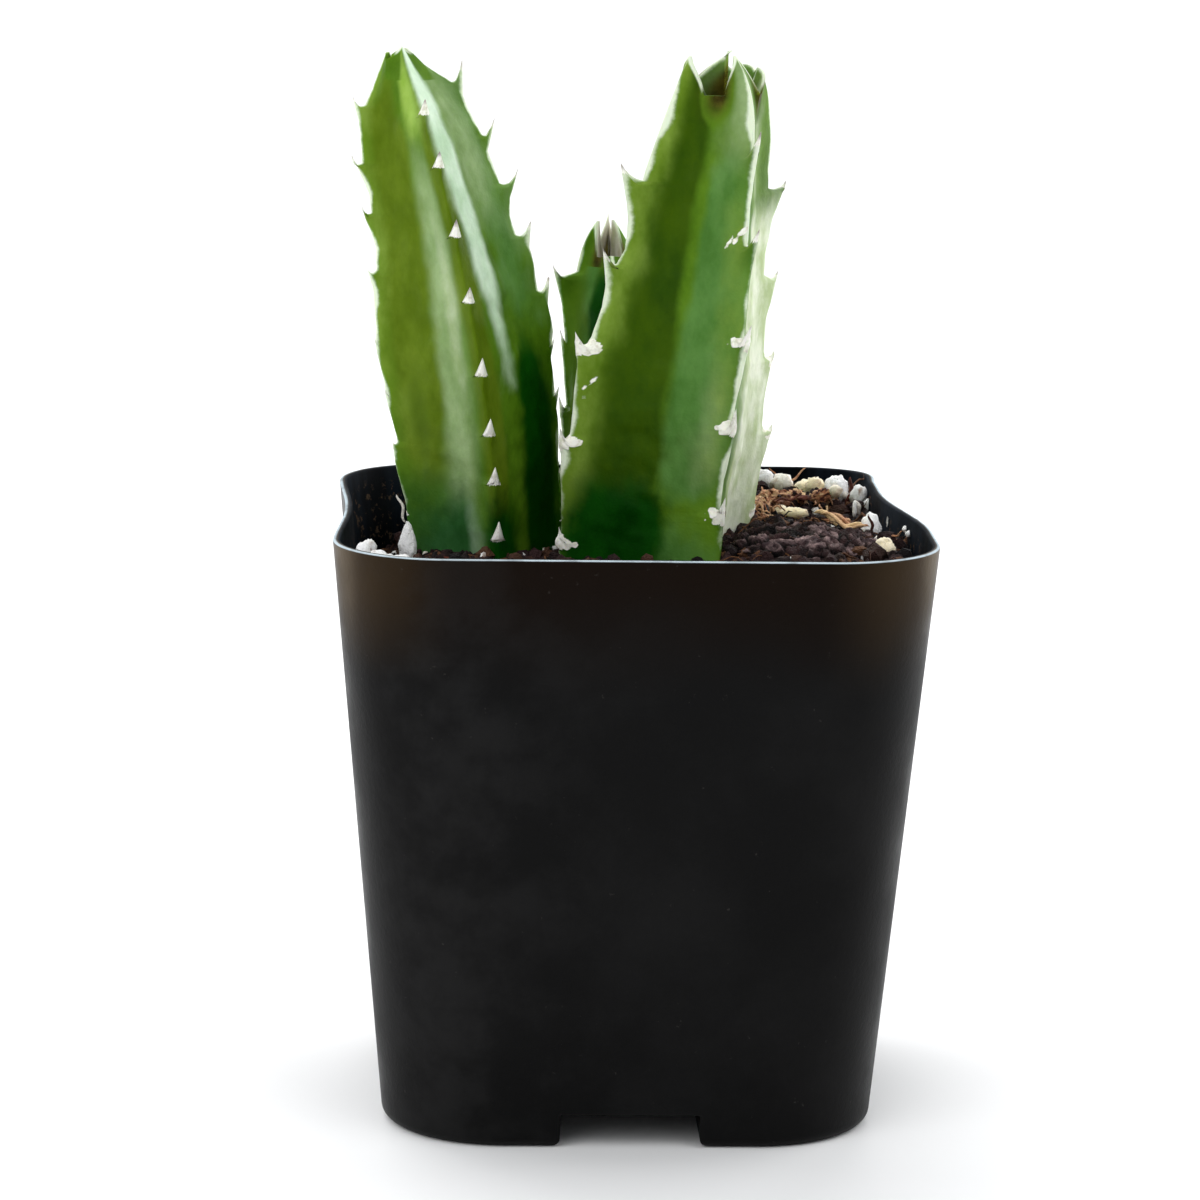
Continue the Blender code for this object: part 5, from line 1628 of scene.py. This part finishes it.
def pull_teeth(spec, points, columns):
    """Pulls each tooth out of its rib: a long smooth foot below, a sharp armpit above, bent up to its tip.

    A point's closeness to the node is 1 at the node and 0 at the edge of the foot. The tooth's reach out
    and its rise follow powers of it, with a hollow armpit. Returns the moved points, and the masks of the
    tooth's white skin, of its dry tip and of the painted shade that fans down below it.
    """
    draw = random.Random(spec["seed"])
    moved = points.copy()
    white, dry, shade = (np.zeros(points.shape[:-1]) for _ in range(3))
    halves, below, above = spec["tooth_foot"]
    for rib, (low, high) in enumerate(spec["tooth_lengths"]):
        outward = rib_direction(spec, rib)
        side = np.array([-outward[1], outward[0], 0.0])
        part = slice(rib * columns, (rib + 1) * columns)
        near = points[:, part]
        crumble = rough(near, 1.5 * MM, spec["seed"] + 60, 2)
        for node in spec["nodes"][rib]:
            z = node * MM
            t = float(share_of_height(spec, z))
            spread = draw.uniform(1.0 - LENGTH_SPREAD, 1.0 + LENGTH_SPREAD)
            length = (low + (high - low) * t) * spread * MM
            rise = math.radians(tooth_rise(t) + draw.uniform(-RISE_SPREAD, RISE_SPREAD))
            base = np.array([*stem_axis(spec, t), z]) + outward * float(crest_radius(spec, rib, z))
            if z < soil_height(base[0], base[1]) + TOOTH_CLEARANCE:
                continue
            across = np.abs((near - base) @ side)
            up = near[..., 2] - z
            far = across / halves[rib]
            over = np.clip(up, 0.0, None) / above
            under = np.clip(-up, 0.0, None) / below
            apart = np.where(up > 0.0, np.hypot(far, over), far**1.2 + under**1.2)
            close = np.clip(1.0 - apart, 0.0, 1.0)
            close[:STUB_ROWS] = 0.0
            lift = length * math.sin(rise) * close ** np.where(up > 0.0, 2.8, 1.5)
            moved[:, part] += outward * (length * max(math.cos(rise), 0.1) * close**1.3)[..., None]
            moved[:, part, 2] += lift
            raised = (up + lift) / length
            start = spec["tooth_white"][rib][0] * (1.0 - t) + spec["tooth_white"][rib][1] * t
            raise_to(white, part, ramp(raised, start - 0.03, start + 0.05) * ramp(close, 0.0, 0.12))
            spot = np.hypot(far / 1.5, (up + lift - 0.1 * MM) / CALLUS_HALF)
            crust = ramp(1.15 - spot - 0.22 * crumble, 0.0, 0.35) * ramp(1.3 - spot, 0.0, 0.2)
            crust = crust * spec["callus"][rib] * float(ramp(-t, -0.6, -0.4))
            moved[:, part] += outward * (CALLUS_DEPTH * crust * (1.0 + 0.7 * crumble))[..., None]
            raise_to(white, part, crust)
            tip = ramp(raised, 0.5, 0.95) * ramp(close, 0.3, 0.7)
            raise_to(dry, part, tip * float(ramp(t, 0.3, 0.6)))
            # The painted shade below the tooth
            drop = np.clip(-up, 0.0, None)
            fan = ramp(-up, 0.0, 0.25 * MM) * np.clip(1.0 - drop / SHADE_DROP, 0.0, 1.0)
            fan = fan * bell(across, halves[rib] + 0.32 * drop) * spec["tooth_shade"][rib]
            raise_to(shade, part, fan)
    return moved, white, dry, shade


def bend(start, handle, end, share):
    """Points on a curve between two ends that is drawn towards a handle: a quadratic in the share."""
    share = share[:, None, None]
    return start * (1.0 - share) ** 2 + handle * 2.0 * share * (1.0 - share) + end * share**2


def crown_surface(spec, points, round_stem):
    """The open tip: each column curves on from the stem's last row to a rim, then folds down inside.

    The rim stands at one height, and rises straight to each young leaf's tip while it leans in to it.
    Returns the new rows, their nearness to the rim, which carries a painted highlight, and their depth
    inside, which a brown in each valley outside joins; that brown is partly dry tissue and partly painted
    shade.
    """
    _, (rim_height, rim_share), floor, tips = spec["crown"]
    around = round_stem[-1] % 4.0
    middle = np.array(stem_axis(spec, 1.0))
    last = points[-1]
    outward = last[:, :2] - np.array(stem_axis(spec, float(share_of_height(spec, last[0, 2]))))
    reach = np.linalg.norm(outward, axis=1)
    outward = outward / reach[:, None]
    radius = reach * rim_share
    height = np.full(len(reach), rim_height)
    in_tip = np.zeros(len(reach))
    for rib, (tip_reach, tip_height, before, after, lean) in enumerate(tips):
        apart = ribs_apart(around, rib)
        share = np.clip(1.0 - np.abs(apart) / np.where(apart < 0.0, before, after), 0.0, 1.0)
        in_tip = np.maximum(in_tip, share)
        radius = radius + (tip_reach * MM - reach * rim_share) * share**lean
        height = height + (tip_height * MM - rim_height) * share**TIP_POWER
    rim = np.concatenate([middle + outward * radius[:, None], height[:, None]], 1)
    slope = (points[-1] - points[-4]) / (points[-1] - points[-4])[:, 2:]
    handle = last + slope * (0.6 * (height - last[:, 2]))[:, None]
    outside = bend(last, handle, rim, np.linspace(0.0, 1.0, CROWN_ROWS)[1:])
    inner_reach = radius - np.minimum(RIM_THICKNESS, 0.5 * radius)
    inner = np.concatenate([middle + outward * inner_reach[:, None], height[:, None]], 1)
    bottom = np.broadcast_to(np.array([*middle, floor]), inner.shape)
    handle = np.concatenate([middle + outward * 0.7 * inner_reach[:, None], bottom[:, 2:]], 1)
    inside = bend(inner, handle, bottom, np.linspace(0.0, 1.0, FOLD_ROWS))
    rows = np.concatenate([outside, inside])
    # Nearness to the rim on the young tips, which carries a painted highlight
    near_rim = bell(np.linalg.norm(rows - rim, axis=-1), 1.3 * RIM_THICKNESS)
    near_rim = near_rim * ramp(height - rim_height, 0.2 * MM, 1.0 * MM)
    low = ramp(outside[..., 2], rim_height - 4.5 * MM, rim_height + 0.4 * MM)
    # Brown in each valley below the rim, and deeper inside: partly dry tissue, partly painted shade
    dry_shaded_valley = 0.85 * low**1.3 * bell(around % 1.0 - DRY_SHADED_VALLEY_MIDDLE, DRY_SHADED_VALLEY_HALF) * (1.0 - 0.5 * in_tip)
    sunk = ramp(height - inside[..., 2], 0.2 * MM, 2.6 * MM)
    sunk = sunk * (0.4 + 0.6 * bell(around - BROWN_MIDDLE, BROWN_HALF))
    return rows, near_rim, np.concatenate([dry_shaded_valley, sunk])


def band_masks(spec, points, round_stem):
    """Each kind of colour band: a bell curve round the stem, faded in and out up the stem."""
    t = (points[..., 2] - SOIL_LEVEL) / (spec["top"] - SOIL_LEVEL)
    masks = {kind: np.zeros(t.shape) for kind in BAND_KINDS}
    for kind, at_foot, at_tip, half, start, end, strength in spec["bands"]:
        apart = ribs_apart(round_stem, at_foot + (at_tip - at_foot) * t)
        fade = ramp(t, start - BAND_SOFTNESS, start + BAND_SOFTNESS)
        fade = fade * (1.0 - ramp(t, end - BAND_SOFTNESS, end + BAND_SOFTNESS))
        masks[kind] = np.maximum(masks[kind], strength * fade * bell(apart, half))
    return masks


def crest_mask(spec, points, round_stem):
    """The pale line along each crest, partly the skin's pale rib edge and partly a painted rim light: a bell
    curve of the distance from the crest over the skin.
    """
    t = share_of_height(spec, points[..., 2])
    nearest = np.round(round_stem)
    angle = np.abs(round_stem - nearest) * math.pi / 2.0
    far = angle * np.maximum(stem_radius(spec, np.minimum(t, 0.93)), 2.0 * MM)
    strength = np.array(spec["crest_lines"])[nearest.astype(int) % 4]
    wander = waves(points * np.array([0.2, 0.2, 1.0]), 5.0 * MM, spec["seed"] + 40)
    line = bell(far, spec["line_width"] * (1.0 + 0.35 * wander))
    strength = strength * (0.85 + 0.3 * wander) * (0.45 + 0.55 * ramp(t, 0.05, 0.3))
    return strength * line * ramp(points[..., 2], SOIL_LEVEL - 1.0 * MM, SOIL_LEVEL)


def fleck_mask(spec, points, round_stem):
    """Small pale scars: each a bell curve along and across a slanted line on the skin."""
    scars = np.zeros(round_stem.shape)
    crumble = rough(points, 1.2 * MM, spec["seed"] + 80, 2)
    for at, height, half_wide, half_high, slant, strength in spec["flecks"]:
        up = points[..., 2] / MM - height
        across = ribs_apart(round_stem, at) * FACE_WIDTH - slant * up
        spot = bell(across, half_wide) * bell(up, half_high)
        scars = np.maximum(scars, strength * spot * (1.0 + 0.5 * crumble))
    return scars


def make_stem(name, finish, rows, columns):
    """One stem in one closed surface: its ribbed skin with the teeth pulled out of it, and its open crown."""
    spec = STEMS[name]
    skin, round_stem = stem_surface(spec, rows, columns)
    crown, near_rim, depth = crown_surface(spec, skin, round_stem)
    skin = wrinkle(spec, skin, round_stem)
    around = np.concatenate([round_stem, np.broadcast_to(round_stem[-1], crown.shape[:2])])
    flat = np.concatenate([skin, crown])
    masks = band_masks(spec, flat, around)
    masks["crest"] = crest_mask(spec, flat, around)
    skin, *tooth_masks = pull_teeth(spec, skin, columns)
    for label, values in zip(("tooth", "dry", "shade"), tooth_masks):
        masks[label] = np.concatenate([values, np.zeros(crown.shape[:2])])
    masks["tooth"] = np.maximum(masks["tooth"], fleck_mask(spec, flat, around))
    body = len(skin)
    # The crown's rim carries a painted highlight: as a crest line here, and as a pale band below
    masks["crest"][body:] = np.maximum(masks["crest"][body:], near_rim)
    # The hollow's brown is partly dry tissue and partly painted shade
    brown, pale, dry = spec["hollow"]
    masks["brown"] = np.zeros(around.shape)
    masks["brown"][body:] = brown * depth
    masks["papery"] = np.zeros(around.shape)
    masks["papery"][body + CROWN_ROWS - 1:] = dry
    for label in BAND_KINDS:
        masks[label][body:] *= 1.0 - ramp(depth, 0.0, 0.4)
    # Painted highlight along the crown's rim
    masks["pale"][body:] = np.maximum(masks["pale"][body:], pale * near_rim**0.4)
    points = np.concatenate([skin, crown])
    piece(name + "_skin", points, grid_faces(*points.shape[:2]), finish, (name,), masks)


# Camera, floor and light

def make_camera():
    """The camera at the photograph's place and turn, and its lens."""
    level = math.cos(CAMERA_PITCH)
    ahead = Vector((math.sin(CAMERA_YAW) * level, math.cos(CAMERA_YAW) * level, -math.sin(CAMERA_PITCH)))
    right = Vector((math.cos(CAMERA_YAW), -math.sin(CAMERA_YAW), 0.0))
    over = right.cross(ahead)
    rolled = math.cos(CAMERA_ROLL) * right + math.sin(CAMERA_ROLL) * over
    upward = math.cos(CAMERA_ROLL) * over - math.sin(CAMERA_ROLL) * right
    matrix = Matrix((rolled, upward, -ahead)).transposed().to_4x4()
    matrix.translation = Vector(CAMERA_PLACE) * MM
    data = bpy.data.cameras.new("camera")
    data.lens = CAMERA_LENS
    data.sensor_width = SENSOR_WIDTH
    data.clip_start = 0.01
    data.clip_end = 20.0
    camera = put("camera", data)
    camera.matrix_world = matrix
    bpy.context.scene.camera = camera


def make_floor():
    """A large pale round floor."""
    made, tree, shader = finish_of("floor_paper", {"Specular IOR Level": 0.1})
    spot = place(tree)
    colour = mottle(tree, spot, tint(238, 238, 238), tint(242, 242, 242), 3.0)
    roughness = between(tree, noise(tree, spot, 5.0), 0.0, 1.0, 0.8, 0.9)
    wire(tree, shader, colour, roughness, noise(tree, spot, 40.0), 0.02, 0.001)
    angle = np.linspace(0.0, 2.0 * math.pi, 96, endpoint=False)
    mesh = bpy.data.meshes.new("floor")
    circle = np.stack([np.cos(angle), np.sin(angle), 0.0 * angle], -1) * FLOOR_RADIUS
    mesh.from_pydata(circle.tolist(), [], [list(range(len(circle)))])
    mesh.materials.append(made)
    floor = put("floor", mesh)


def lamp_along(name, data, toward):
    """A lamp that shines along toward."""
    lamp = put(name, data)
    lamp.rotation_mode = "QUATERNION"
    lamp.rotation_quaternion = toward.to_track_quat("-Z", "Y")
    return lamp


def sun(name, toward, strength, spread):
    """A soft distant light that shines along toward, as wide as spread in degrees."""
    data = bpy.data.lights.new(name, "SUN")
    data.energy = strength
    data.angle = math.radians(spread)
    lamp_along(name, data, Vector(toward))


def soft_box(name, spot, size, power):
    """A soft square light that faces the stems and isn't itself seen."""
    data = bpy.data.lights.new(name, "AREA")
    data.shape = "RECTANGLE"
    data.size, data.size_y = size
    data.energy = power
    lamp = lamp_along(name, data, Vector(LIT_SPOT) - Vector(spot))
    lamp.location = spot
    lamp.visible_camera = False


def make_light():
    """A soft high light from behind, weaker ones from the front, and a soft box behind either side."""
    sun("back_light", (0.15, -0.75, -1.0), 1.9, 50.0)
    sun("front_light", (0.55, 0.8, -0.75), 1.0, 45.0)
    sun("right_light", (-0.5, 0.5, -0.8), 0.55, 40.0)
    soft_box("left_box", (-0.55, 0.30, 0.22), (0.5, 0.6), 2.2)
    soft_box("right_box", (0.55, 0.30, 0.22), (0.5, 0.6), 2.8)
    world = bpy.data.worlds.new("pale_room")
    world.use_nodes = True
    room = world.node_tree.nodes["Background"].inputs
    room["Color"].default_value = (0.94, 0.97, 1.0, 1.0)
    room["Strength"].default_value = 0.5
    bpy.context.scene.world = world
    bpy.context.scene.view_settings.view_transform = "Standard"


def main():
    make_camera()
    make_floor()
    make_light()
    make_pot(pot_plastic())
    mix_finish = potting_mix()
    make_soil(mix_finish)
    make_crumbs(mix_finish)
    make_fibres(mix_finish)
    white, bark = perlite_white(), bark_tan()
    make_grains(white, bark)
    make_small_perlite(white)
    make_splinters(bark)
    make_bark_clumps(bark)
    make_twigs(bark)
    make_peat_block(mix_finish)
    skin = stem_skin()
    make_stem("stem_left", skin, STEM_ROWS, RIB_COLUMNS)
    make_stem("stem_right", skin, STEM_ROWS, RIB_COLUMNS)
    make_stem("stem_back", skin, 200, 40)


main()
